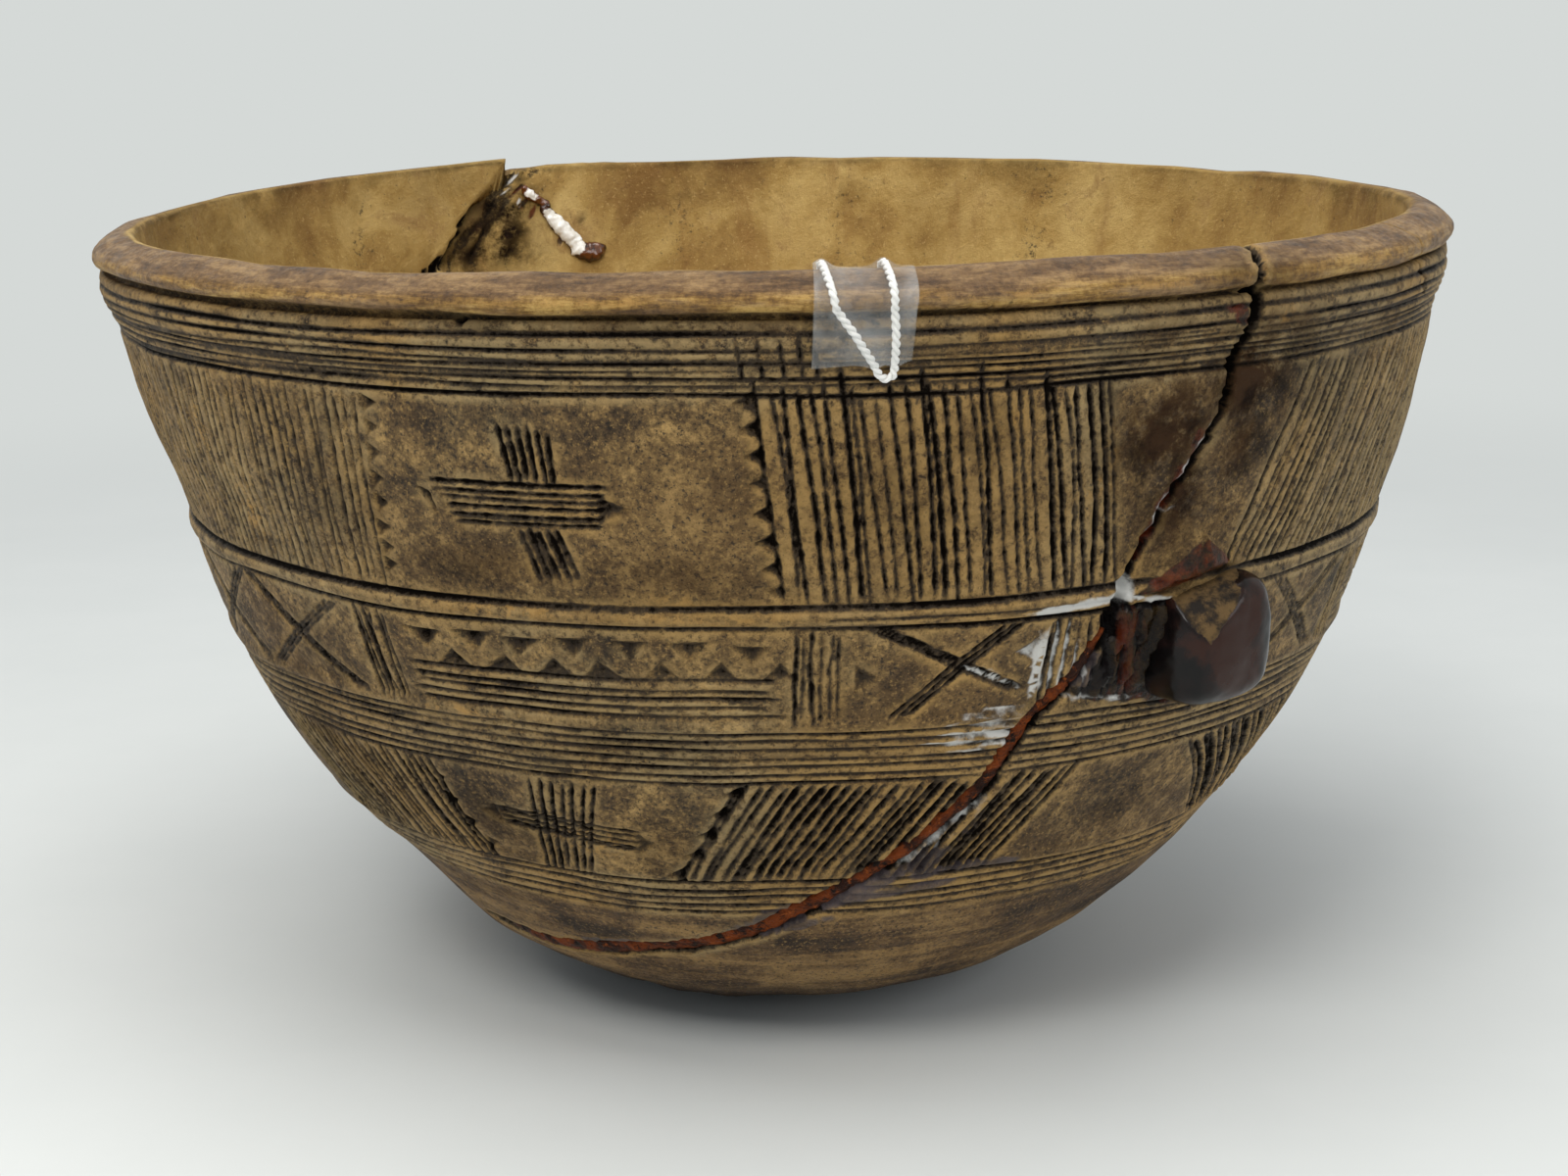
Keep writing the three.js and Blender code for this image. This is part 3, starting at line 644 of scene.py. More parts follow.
    # Hardly any of it to the left of that crack, and faint stains elsewhere on the inner wall
    left_of_crack = (AZ > LEAN_COLUMN) & (AZ < LEAN_COLUMN + 16)
    FIELDS["dark"][CREST_ROW:, left_of_crack] *= 0.3
    IN.dabs(
        "dark",
        (-115, 184, 16, 5, 0.5), (-134, 182, 12, 6, 0.45), (160, 170, 10, 8, 0.3),
        (46, 180, 6, 6, 0.5), (-156.9, 172.4, 1.3, 1.5, 1.4), (-170, 178, 4, 3, 0.5),
        (-176, 182, 14, 5, 0.4), (150, 184, 20, 4, 0.4), (-165, 168, 9, 6, 0.3),
        (-100, 176, 70, 16, 0.3),
    )
    # A thin dark band just inside the crest: painted shade along the rim's inner edge
    IN.ring(187, 1.5, 0.75, 0.5, "dark")
    IN.dabs(
        "amber",
        (-145, 182, 2, 2.6, 0.75), (-147.4, 178, 2.2, 2.8, 0.75), (-149.4, 175, 2, 2.6, 0.75),
        (-154.6, 167, 1.8, 3, 0.75),
    )
    # Bright ochre crumbs; the long thin patches on the ridge near 119 mm are painted highlights
    for a, z, wide, tall in (
        (24.6, 142.5, 4, 2.6), (-8, 122.6, 5, 1.6), (13, 69, 2.2, 1.4), (-22, 119, 14, 1.4),
        (25.5, 149, 2, 3), (-50, 132, 4, 6), (-54, 150, 3, 5), (-6, 118.6, 20, 1.2),
        (-20, 63, 8, 5), (-30, 94, 14, 1.4), (40, 174, 3, 2), (17.5, 158, 3, 2),
    ):
        OUT.dab(a, z, wide, tall, 1, "bare_and_highlight")
    # A painted highlight line along the lip's nose, just above its lower edge
    for a in (-58, -34, -12, 14, 30, 52):
        OUT.dab(a, 182.8, 34, 0.6, 1, "bare_and_highlight")


def crack_azimuth(path, heights):
    z = np.array([p[1] for p in path])[::-1]
    a = np.array([p[0] for p in path])[::-1]
    return np.interp(heights, z, a)


def crack_column(heights):
    """The back crack's azimuth before the wall's columns are turned."""
    return crack_azimuth(BACK_CRACK, np.minimum(heights, LEAN_FROM))


def lean_over(z):
    """How far the columns are turned, in degrees, so that they run along the back crack."""
    turn = crack_azimuth(BACK_CRACK, np.clip(z, LEAN_FROM, RIM_HEIGHT + SPRUNG_LIFT)) - LEAN_COLUMN
    return turn * (1.0 - smooth(np.abs(AZ[None] - LEAN_COLUMN), 0.0, LEAN_SPREAD))


def under_lip_bulge(z):
    """How far the top of the wall swells out under the lip."""
    return UNDER_LIP_BULGE * smooth(z, 165.0, 176.5) * (1.0 - smooth(z, 178.2, 179.2))


def out_of_round(z):
    """How far the hand-made wall is off a true round, in millimetres along its normal."""
    total = np.zeros(SHAPE)
    for azimuth, height, wide, tall, amount in (
        (80, 85, 48, 38, 3.4), (80, 140, 45, 30, 1.4), (-80, 128, 45, 20, -2.2), (-80, 36, 50, 17, -4.0),
    ):
        total += amount * np.exp(-(((AZ[None] - azimuth) / wide) ** 2) - ((z - height) / tall) ** 2)
    return total


def bowl_arrays():
    """The carved surface as a closed grid: positions and the masks that colour it."""
    carve_rings()
    carve_upper_tier()
    carve_middle_tier()
    carve_lower_tier()
    open_cracks()
    smear_finishes_and_painted_light()
    z = ROW_Z[:, None]
    outside = np.zeros(SHAPE, np.float32)
    outside[:CREST_ROW] = 1.0
    # Cuts are worn softer and shallower in places
    worn_down = 0.8 + 0.2 * mottle(26, 34)
    carved = FIELDS["cut"] * worn_down
    chipped = FIELDS["chip"] * worn_down
    lip = (outside * smooth(z, 180.2, 181.0)).astype(np.float32)
    swell = 0.5 * mottle(14, 22) + 0.28 * mottle(34, 60) + lip * 0.22 * mottle(40, 90)
    under_tape = np.exp(-(((AZ[None] - TAPE_AZIMUTH) / TAPE_CALM) ** 2))
    swell *= smooth(z, 0.5, 8.0) * (1.0 - 0.9 * under_tape * smooth(z, 155.0, 164.0))
    form = swell + outside * (out_of_round(z) * smooth(z, 2.0, 14.0) + under_lip_bulge(z))
    FIELDS["form"][:] = form
    torn = np.zeros(SHAPE, np.float32)
    torn[CREST_ROW:] = FIELDS["dark"][CREST_ROW:] * smooth(AZ, -154, -148)[None] * (AZ < LEAN_COLUMN)[None]
    rough = torn * np.clip(0.5 + 1.3 * mottle(150, 420) + 1.1 * mottle(70, 240), 0.0, 2.0)
    # The torn edge slopes back from the inner wall to the crack
    right = LEAN_COLUMN - AZ[None]
    width = np.interp(z, [150.0, 165.0, RIM_HEIGHT], [5.0, 8.0, 2.6])
    slope = np.clip(1.0 - right / width, 0.0, 1.0) * (right > 0)
    bevel = (1.0 - outside) * BEVEL_DEPTH * slope * smooth(z, 150.0, 164.0)
    height = form + FIELDS["rise"] - carved - chipped - FIELDS["crack"] - rough - bevel
    dr, dz = np.gradient(ROW_R), np.gradient(ROW_Z)
    size = np.hypot(dr, dz)
    nr, nz = (dz / size)[:, None], (-dr / size)[:, None]
    radius = ROW_R[:, None] + nr * height
    level = z + nz * height
    # Uneven rim, low on the left, and the edge that has sprung up beside the back crack
    dip = RIM_DIP * np.exp(-(((AZ - RIM_DIP_AZIMUTH) / RIM_DIP_SPREAD) ** 2))
    uneven = wave(0.5, 1, 5) + wave(0.2, 6, 30) - dip
    level += (uneven * (1.0 - under_tape[0]))[None] * smooth(z, 150, RIM_HEIGHT)
    past = np.mod(AZ[None] - crack_column(z), 360.0)
    lift = SPRUNG_LIFT * smooth(past, 0.0, 0.15) * np.exp(-past / SPRUNG_SPREAD)
    lift = lift * smooth(z, SPRUNG_FROM, RIM_HEIGHT)
    level += lift
    # Gaps that go right through the rim: a torn wedge at the back, a nick at the front
    wedge = np.clip((AZ - LEAN_COLUMN + 2.4) / 2.3, 0.0, 1.0) * (AZ < LEAN_COLUMN - 0.05)
    undercut = np.clip((LEAN_COLUMN + 4.2 - AZ) / 4.0, 0.0, 1.0) * (AZ > LEAN_COLUMN - 0.1)
    nick = np.clip(1.0 - np.abs(AZ - NICK_AZIMUTH) / NICK_HALF, 0.0, 1.0) ** 0.4
    clear = RIM_HEIGHT + SPRUNG_LIFT + 2.0
    ceiling = np.minimum(clear - WEDGE_DEPTH * wedge, clear - NICK_DEPTH * nick)[None]
    ceiling = ceiling + 0.8 * mottle(60, 900) * wedge[None]
    ceiling[:CREST_ROW] = np.minimum(ceiling[:CREST_ROW], clear - WEDGE_DEPTH * undercut)
    broken = (level > ceiling) & (wedge + undercut > 0.05)[None]
    level = np.clip(np.minimum(level, ceiling), 0.0, None)
    turn = np.radians(AZ[None] + lean_over(z + lift))
    position = np.stack([radius * np.sin(turn), -radius * np.cos(turn), level], axis=-1)
    total = carved + 0.6 * chipped + 0.6 * np.minimum(FIELDS["crack"], 2.0)
    masks = {
        # Depth of cuts, chips, cracks and torn wood, which the shader paints dark as dirt and as painted
        # shade
        "cavity": np.clip(1.45 * carved + 0.62 * chipped + 0.9 * FIELDS["crack"] + 0.55 * rough, 0.0, 1.6),
        # Edges standing between close cuts, which the shader paints pale as rubbed wear and as painted
        # highlight
        "wear_and_highlight": np.clip(4.2 * (blurred(total, 3, 3) - total), 0.0, 1.0) * outside,
        "inside": np.where(broken, 1.0, 1.0 - outside),
        "lip": np.where(broken, 0.0, lip),
        "nose": np.where(broken, 0.0, lip * (1.0 - smooth(z, 183.4, 185.4))),
    }
    FIELDS["dark"][broken] = 1.0
    for key in ("resin", "smear", "amber", "white", "dark", "bare_and_highlight"):
        masks[key] = np.clip(FIELDS[key], 0.0, 1.2)
    return position, masks


def form_at(face, azimuth, height):
    """The smooth shape's offset along the normal, at one place on a face."""
    row = face.first + int(np.argmin(np.abs(face.z - height)))
    return float(FIELDS["form"][row, int(np.argmin(np.abs(AZ - azimuth)))])


def grid_mesh(name, position, masks):
    """A closed mesh from a grid of rings, with a point at each end."""
    rows, cols = position.shape[:2]
    points = position.reshape(-1, 3)
    poles = np.array([[0.0, 0.0, position[0, :, 2].mean()], [0.0, 0.0, position[-1, :, 2].mean()]])
    points = np.vstack([points, poles]) * MM
    i = np.arange(rows - 1)[:, None] * cols
    j = np.arange(cols)[None]
    k = (j + 1) % cols
    a, b, c, d = i + j, i + k, i + cols + k, i + cols + j
    last = (rows - 1) * cols
    tris = np.concatenate([
        np.stack([a, b, c], -1).reshape(-1, 3), np.stack([a, c, d], -1).reshape(-1, 3),
        np.stack([k[0], j[0], np.full(cols, rows * cols)], -1),
        np.stack([last + j[0], last + k[0], np.full(cols, rows * cols + 1)], -1),
    ])
    mesh = bpy.data.meshes.new(name)
    mesh.vertices.add(len(points))
    mesh.vertices.foreach_set("co", points.astype(np.float32).ravel())
    mesh.loops.add(3 * len(tris))
    mesh.loops.foreach_set("vertex_index", tris.astype(np.int32).ravel())
    mesh.polygons.add(len(tris))
    mesh.polygons.foreach_set("loop_start", np.arange(0, 3 * len(tris), 3, dtype=np.int32))
    for key, values in masks.items():
        flat = values.reshape(-1)
        ends = [values[0].mean(), values[-1].mean()]
        data = mesh.attributes.new(key, "FLOAT", "POINT")
        data.data.foreach_set("value", np.concatenate([flat, ends]).astype(np.float32))
    mesh.update(calc_edges=True)
    return mesh


def linked(name, mesh, material):
    obj = bpy.data.objects.new(name, mesh)
    bpy.context.scene.collection.objects.link(obj)
    mesh.materials.append(material)
    mesh.shade_smooth()
    return obj


def applied(obj):
    """The object's mesh with its modifiers made permanent."""
    graph = bpy.context.evaluated_depsgraph_get()
    final = obj.evaluated_get(graph)
    made = bpy.data.meshes.new_from_object(final, preserve_all_data_layers=True, depsgraph=graph)
    old = obj.data
    obj.modifiers.clear()
    obj.data = made
    bpy.data.meshes.remove(old)
    return obj


def around(azimuth, radius, height):
    """A point, or a direction, at an azimuth in degrees."""
    a = math.radians(azimuth)
    return Vector((radius * math.sin(a), -radius * math.cos(a), height))


def wall_point(azimuth, height, lift=0.0):
    """A point in millimetres on the outer wall, raised along the wall's normal, with that normal."""
    step = 0.4
    low = max(height - step, 0.2)
    slope = float((outer_radius(height + step) - outer_radius(low)) / (height + step - low))
    if height > WALL_TOP_HEIGHT - 1:
        slope = 0.05
    size = math.hypot(1.0, slope)
    a = math.radians(azimuth)
    out = Vector((math.sin(a) / size, -math.cos(a) / size, -slope / size))
    lift += form_at(OUT, azimuth, height)
    return around(azimuth, float(outer_radius(height)), height) + lift * out, out


def crosswise(centres, normals, i):
    """The directions across a line at one of its points: up from what it lies on, and sideways."""
    along = (centres[min(i + 1, len(centres) - 1)] - centres[max(i - 1, 0)]).normalized()
    up = (normals[i] - normals[i].dot(along) * along).normalized()
    return up, along.cross(up)


def tube_mesh(name, centres, normals, half_widths, half_heights, sides):
    """A closed tube with an oval section, flat across the normal."""
    n = len(centres)
    points, faces = [], []
    for i in range(n):
        up, side = crosswise(centres, normals, i)
        for k in range(sides):
            t = 2 * math.pi * k / sides
            sideways, upwards = half_widths[i] * math.cos(t), half_heights[i] * math.sin(t)
            points.append(centres[i] + side * sideways + up * upwards)
    for i in range(n - 1):
        for k in range(sides):
            a, b = i * sides + k, i * sides + (k + 1) % sides
            faces.append((a, b, b + sides, a + sides))
    start, end = len(points), len(points) + 1
    points += [centres[0], centres[-1]]
    for k in range(sides):
        faces.append((start, (k + 1) % sides, k))
        last = (n - 1) * sides
        faces.append((end, last + k, last + (k + 1) % sides))
    mesh = bpy.data.meshes.new(name)
    mesh.from_pydata([tuple(p * MM) for p in points], [], faces)
    mesh.update()
    return mesh


def rough_up(obj, amount, frequency):
    """Pushes each point along its normal by smooth noise, in millimetres."""
    moved = []
    for v in obj.data.vertices:
        push = noise.noise(v.co / MM * frequency) + 0.5 * noise.noise(v.co / MM * frequency * 2.7)
        moved.append(v.co + v.normal * (push * amount * MM))
    obj.data.vertices.foreach_set("co", np.array(moved, np.float32).ravel())
    obj.data.update()


# Materials

# The backdrop's colour, and how far out, in metres, the floor fades to it
BACKDROP = (213, 217, 215)
FADE_REACH = (0.42, 1.0)


def srgb(red, green, blue):
    """A colour as it is seen, 0 to 255, as the linear values that a shader takes."""
    linear = [((c / 255 + 0.055) / 1.055) ** 2.4 if c > 10 else c / 255 / 12.92 for c in (red, green, blue)]
    return (*linear, 1.0)


class Nodes:
    """A short way to write a node tree."""

    def __init__(self, name):
        self.material = bpy.data.materials.new(name)
        self.material.use_nodes = True
        self.tree = self.material.node_tree
        self.shader = self.tree.nodes["Principled BSDF"]
        self.coords = self.node("ShaderNodeTexCoord").outputs["Object"]

    def node(self, kind, **settings):
        made = self.tree.nodes.new(kind)
        for key, value in settings.items():
            setattr(made, key, value)
        return made

    def put(self, value, socket):
        if isinstance(value, bpy.types.NodeSocket):
            self.tree.links.new(value, socket)
        else:
            socket.default_value = value

    def mask(self, name):
        return self.node("ShaderNodeAttribute", attribute_name=name).outputs["Fac"]

    def noise(self, scale, detail=4.0, roughness=0.55, stretch=(1.0, 1.0, 1.0), warp=0.0):
        mapped = self.node("ShaderNodeMapping")
        self.put(self.coords, mapped.inputs["Vector"])
        mapped.inputs["Scale"].default_value = stretch
        made = self.node("ShaderNodeTexNoise")
        self.put(mapped.outputs["Vector"], made.inputs["Vector"])
        made.inputs["Scale"].default_value = scale
        made.inputs["Detail"].default_value = detail
        made.inputs["Roughness"].default_value = roughness
        made.inputs["Distortion"].default_value = warp
        return made.outputs["Fac"]

    def ramp(self, value, low, high):
        """0 below low, 1 above high, smooth between."""
        made = self.node("ShaderNodeMapRange", interpolation_type="SMOOTHSTEP")
        self.put(value, made.inputs["Value"])
        made.inputs["From Min"].default_value = low
        made.inputs["From Max"].default_value = high
        return made.outputs["Result"]

    def math(self, operation, a, b=0.0):
        made = self.node("ShaderNodeMath", operation=operation)
        self.put(a, made.inputs[0])
        self.put(b, made.inputs[1])
        return made.outputs[0]

    def times(self, a, b):
        return self.math("MULTIPLY", a, b)

    def broken_up(self, mask, pattern, amount):
        """A mask with a pattern added, so that its edge is ragged."""
        return self.math("ADD", mask, self.times(self.math("SUBTRACT", pattern, 0.5), amount))

    def mix(self, share, a, b):
        made = self.node("ShaderNodeMix", data_type="RGBA")
        self.put(share, made.inputs["Factor"])
        self.put(a, made.inputs[6])
        self.put(b, made.inputs[7])
        return made.outputs[2]

    def tones(self, share, first, second):
        """From one colour to another, both as they are seen."""
        return self.mix(share, srgb(*first), srgb(*second))

    def tint(self, colour, share, strength, tone):
        """A colour with a tone laid over it, as strong as it gets where the share is 1."""
        return self.mix(self.times(share, strength), colour, srgb(*tone))

    def blend(self, share, a, b):
        made = self.node("ShaderNodeMix", data_type="FLOAT")
        self.put(share, made.inputs["Factor"])
        self.put(a, made.inputs[2])
        self.put(b, made.inputs[3])
        return made.outputs[0]

    def colours(self, value, *stops):
        """A colour for each value, from stops of (value, (red, green, blue))."""
        made = self.node("ShaderNodeValToRGB")
        self.put(value, made.inputs["Fac"])
        points = made.color_ramp.elements
        while len(points) < len(stops):
            points.new(0.5)
        for point, (at, colour) in zip(points, stops):
            point.position = at
            point.color = srgb(*colour)
        return made.outputs["Color"]

    def bump(self, height, strength, distance):
        made = self.node("ShaderNodeBump")
        self.put(height, made.inputs["Height"])
        made.inputs["Strength"].default_value = strength
        made.inputs["Distance"].default_value = distance
        self.put(made.outputs["Normal"], self.shader.inputs["Normal"])

    def set(self, **values):
        for key, value in values.items():
            self.put(value, self.shader.inputs[key.replace("_", " ")])
        return self.material


def wood_material():
    n = Nodes("carved_wood")
    broad = n.noise(11.0, 5.0, 0.6, warp=0.6)
    patchy = n.noise(45.0, 8.0, 0.68, warp=0.4)
    grit = n.noise(230.0, 9.0, 0.78)
    crumbs = n.noise(640.0, 6.0, 0.75)
    specks = n.noise(1100.0, 4.0, 0.7)
    streaks = n.noise(70.0, 6.0, 0.65, (1.0, 1.0, 0.06))
    scratches = n.noise(80.0, 6.0, 0.65, (0.12, 0.12, 3.0))
    place = n.node("ShaderNodeSeparateXYZ")
    n.put(n.coords, place.inputs[0])
    low = n.ramp(place.outputs["Z"], 0.060, 0.034)
    # Outside: olive brown with grit of every size, warmer and smoother near the base, with painted shade
    # underneath
    mixed = n.blend(0.4, n.blend(0.45, grit, crumbs), patchy)
    outer = n.colours(
        mixed, (0.42, (30, 21, 11)), (0.48, (76, 57, 31)), (0.53, (116, 91, 52)), (0.60, (188, 152, 92)),
    )
    outer = n.tint(outer, n.ramp(broad, 0.46, 0.66), 0.5, (104, 76, 37))
    outer = n.tint(outer, n.ramp(broad, 0.46, 0.30), 0.35, (86, 75, 52))
    brushed = n.blend(0.5, scratches, patchy)
    base = n.colours(brushed, (0.42, (46, 30, 15)), (0.49, (100, 73, 41)), (0.57, (156, 122, 72)))
    outer = n.mix(n.times(low, 0.85), outer, base)
    # Painted shade on the underside, darkest just above the floor
    painted_underside_shade = n.ramp(place.outputs["Z"], 0.020, 0.007)
    outer = n.tint(outer, painted_underside_shade, 0.8, (26, 15, 10))
    outer = n.tint(outer, n.ramp(specks, 0.56, 0.64), 0.5, (180, 144, 84))
    outer = n.tint(outer, n.ramp(specks, 0.45, 0.37), 0.85, (22, 15, 9))
    # Inside: golden tan, blotched, with faint upright streaks
    clouded = n.blend(0.45, broad, patchy)
    inner = n.colours(clouded, (0.40, (126, 92, 42)), (0.49, (166, 134, 72)), (0.58, (196, 166, 102)))
    inner = n.tint(inner, n.ramp(streaks, 0.54, 0.70), 0.5, (136, 98, 46))
    inner = n.tint(inner, n.ramp(patchy, 0.56, 0.68), 0.6, (126, 86, 38))
    inner = n.tint(inner, n.ramp(grit, 0.58, 0.70), 0.55, (98, 66, 30))
    inner = n.tint(inner, n.ramp(specks, 0.57, 0.66), 0.35, (214, 184, 120))
    colour = n.mix(n.mask("inside"), outer, inner)
    # Lip: pink-grey brown on top, rubbed to ochre along its nose
    along_rim = (0.3, 0.3, 2.5)
    fine = n.blend(0.35, n.noise(200.0, 8.0, 0.75, along_rim), crumbs)
    top = n.colours(fine, (0.40, (70, 49, 29)), (0.49, (112, 84, 53)), (0.60, (160, 129, 86)))
    nose = n.colours(fine, (0.40, (84, 56, 22)), (0.49, (136, 101, 44)), (0.60, (196, 160, 90)))
    rubbed = n.times(n.mask("nose"), n.ramp(n.noise(110.0, 6.0, 0.7, along_rim), 0.40, 0.56))
    colour = n.mix(n.mask("lip"), colour, n.mix(rubbed, top, nose))
    # Rubbed edges, crumbs, stains and dirt, with painted highlights on ridges and the lip's nose, and
    # painted shade in the cuts, under the lip, round the base and inside the rim
    # Pale on the ridges between cuts: rubbed wear and painted highlight
    wear_and_highlight = n.times(n.mask("wear_and_highlight"), n.ramp(n.noise(320.0, 6.0, 0.75), 0.36, 0.54))
    pale = n.tones(n.ramp(broad, 0.4, 0.6), (166, 142, 97), (176, 140, 80))
    colour = n.mix(n.times(wear_and_highlight, 0.85), colour, pale)
    # Bright ochre on crumbs, with painted highlights on ridges and along the lip's nose
    bare_and_highlight = n.times(n.mask("bare_and_highlight"), n.ramp(n.noise(380.0, 5.0, 0.75), 0.46, 0.58))
    colour = n.tint(colour, bare_and_highlight, 0.85, (184, 142, 76))
    # Dark stains, and painted shade under the lip, round the base, inside the rim and below the amber patch
    dark = n.times(n.mask("dark"), n.ramp(n.noise(85.0, 8.0, 0.75), 0.30, 0.56))
    stain_and_shade_tone = n.tones(n.ramp(patchy, 0.42, 0.58), (24, 15, 9), (58, 40, 25))
    colour = n.mix(n.times(dark, 0.92), colour, stain_and_shade_tone)
    # Darker with the depth of cuts, cracks and torn wood: dirt, and painted shade that goes black in the
    # deepest cuts
    dirt_and_shade = n.broken_up(n.mask("cavity"), crumbs, 2.6)
    colour = n.tint(colour, n.ramp(dirt_and_shade, 0.22, 0.62), 0.85, (36, 26, 15))
    black = n.ramp(dirt_and_shade, 0.62, 1.15)
    colour = n.tint(colour, black, 0.96, (8, 5, 3))
    # Finishes that lie on the wood
    cloud = n.noise(110.0, 6.0, 0.65)
    smear = n.ramp(n.times(n.mask("smear"), n.times(n.noise(90.0, 6.0, 0.7), 2.0)), 0.42, 0.66)
    purple = n.tones(n.ramp(cloud, 0.4, 0.6), (48, 41, 44), (84, 74, 76))
    colour = n.mix(n.times(smear, 0.8), colour, purple)
    resin = n.ramp(n.broken_up(n.mask("resin"), cloud, 0.7), 0.34, 0.56)
    runs = n.ramp(n.noise(120.0, 5.0, 0.65, (1.0, 1.0, 0.25)), 0.52, 0.64)
    colour = n.mix(n.times(resin, 0.94), colour, n.tones(runs, (9, 6, 6), (66, 25, 10)))
    amber = n.ramp(n.broken_up(n.mask("amber"), cloud, 0.8), 0.36, 0.6)
    rust = n.tones(n.ramp(grit, 0.40, 0.60), (14, 5, 2), (84, 30, 6))
    colour = n.mix(n.times(amber, 0.9), colour, rust)
    chalk = n.times(n.mask("white"), n.blend(0.9, 1.0, n.times(n.noise(420.0, 7.0, 0.8), 2.0)))
    chalk = n.ramp(chalk, 0.30, 0.85)
    colour = n.tint(colour, chalk, 0.9, (210, 209, 205))
    # Gloss and relief
    wall_rough = n.blend(n.ramp(mixed, 0.35, 0.65), 0.78, 0.52)
    rough = n.blend(n.mask("lip"), wall_rough, n.blend(n.ramp(grit, 0.35, 0.65), 0.62, 0.36))
    glossy = n.math("MAXIMUM", resin, n.times(n.math("MAXIMUM", amber, smear), 0.7))
    rough = n.blend(glossy, rough, 0.16)
    rough = n.blend(chalk, rough, 0.8)
    shine = n.blend(n.math("MAXIMUM", black, dark), n.blend(glossy, 0.35, 0.13), 0.04)
    pits = n.math("ADD", grit, n.times(streaks, 0.4))
    pits = n.math("ADD", pits, n.times(patchy, 0.8))
    n.bump(n.blend(glossy, pits, n.times(cloud, 1.6)), 0.75, 0.0014)
    return n.set(Base_Color=colour, Roughness=rough, Specular_IOR_Level=shine)


def crack_resin_material():
    n = Nodes("crack_resin")
    lumps = n.noise(160.0, 5.0, 0.65)
    colour = n.tones(n.ramp(lumps, 0.40, 0.60), (40, 15, 4), (112, 50, 11))
    colour = n.mix(n.ramp(n.noise(520.0, 3.0, 0.7), 0.56, 0.70), colour, srgb(142, 70, 20))
    colour = n.mix(n.ramp(n.noise(340.0, 4.0, 0.7), 0.48, 0.36), colour, srgb(20, 9, 4))
    n.bump(n.math("ADD", lumps, n.noise(700.0, 3.0, 0.7)), 0.7, 0.0012)
    return n.set(Base_Color=colour, Roughness=n.blend(lumps, 0.4, 0.7), Specular_IOR_Level=0.12)


def lug_material():
    n = Nodes("lug_resin")
    cloud = n.noise(70.0, 4.0, 0.6, warp=0.5)
    coat = n.colours(cloud, (0.42, (10, 8, 8)), (0.50, (22, 13, 12)), (0.60, (44, 22, 14)))
    wood = n.tones(n.ramp(n.noise(260.0, 5.0, 0.7), 0.38, 0.62), (24, 17, 10), (92, 71, 41))
    bare_and_highlight = n.ramp(n.broken_up(n.mask("bare_and_highlight"), n.noise(210.0, 6.0, 0.75), 1.7), 0.42, 0.56)
    n.bump(n.math("ADD", n.times(n.noise(600.0, 3.0, 0.6), bare_and_highlight), n.times(cloud, 0.5)), 0.4, 0.0008)
    rough = n.blend(bare_and_highlight, n.blend(cloud, 0.14, 0.3), 0.7)
    return n.set(Base_Color=n.mix(bare_and_highlight, coat, wood), Roughness=rough, Specular_IOR_Level=0.22)


def glue_material():
    n = Nodes("dried_glue")
    amber = n.tones(n.ramp(n.noise(300.0, 3.0, 0.6), 0.4, 0.6), (46, 20, 9), (98, 52, 20))
    pale = n.tones(n.ramp(n.noise(420.0, 3.0, 0.6), 0.4, 0.6), (226, 222, 212), (246, 245, 240))
    share = n.ramp(n.math("ADD", n.mask("pale"), n.noise(420.0, 4.0, 0.7)), 0.84, 1.0)
    n.bump(n.noise(500.0, 3.0, 0.6), 0.3, 0.0006)
    return n.set(Base_Color=n.mix(share, amber, pale), Roughness=0.12, Coat_Weight=0.5)


def string_material():
    n = Nodes("cotton_string")
    fibre = n.noise(1500.0, 3.0, 0.7)
    n.bump(fibre, 0.5, 0.0003)
    cotton = n.tones(fibre, (222, 220, 214), (250, 249, 246))
    return n.set(Base_Color=cotton, Roughness=0.9, Sheen_Weight=0.2)


def tape_material():
    n = Nodes("clear_tape")
    haze = n.noise(110.0, 4.0, 0.6)
    n.bump(n.noise(260.0, 2.0, 0.5), 0.15, 0.0005)
    n.material.surface_render_method = "BLENDED"
    film = n.tones(haze, (206, 208, 206), (236, 238, 238))
    return n.set(Base_Color=film, Roughness=0.22, Alpha=n.blend(n.ramp(haze, 0.3, 0.7), 0.05, 0.15))


def seen_directly(tree):
    """1 for rays that show the background: from the camera, or by way of gloss or glass."""
    path = tree.nodes.new("ShaderNodeLightPath")
    total = path.outputs["Is Camera Ray"]
    for kind in ("Is Glossy Ray", "Is Transmission Ray"):
        larger = tree.nodes.new("ShaderNodeMath")
        larger.operation = "MAXIMUM"
        tree.links.new(total, larger.inputs[0])
        tree.links.new(path.outputs[kind], larger.inputs[1])
        total = larger.outputs[0]
    return total


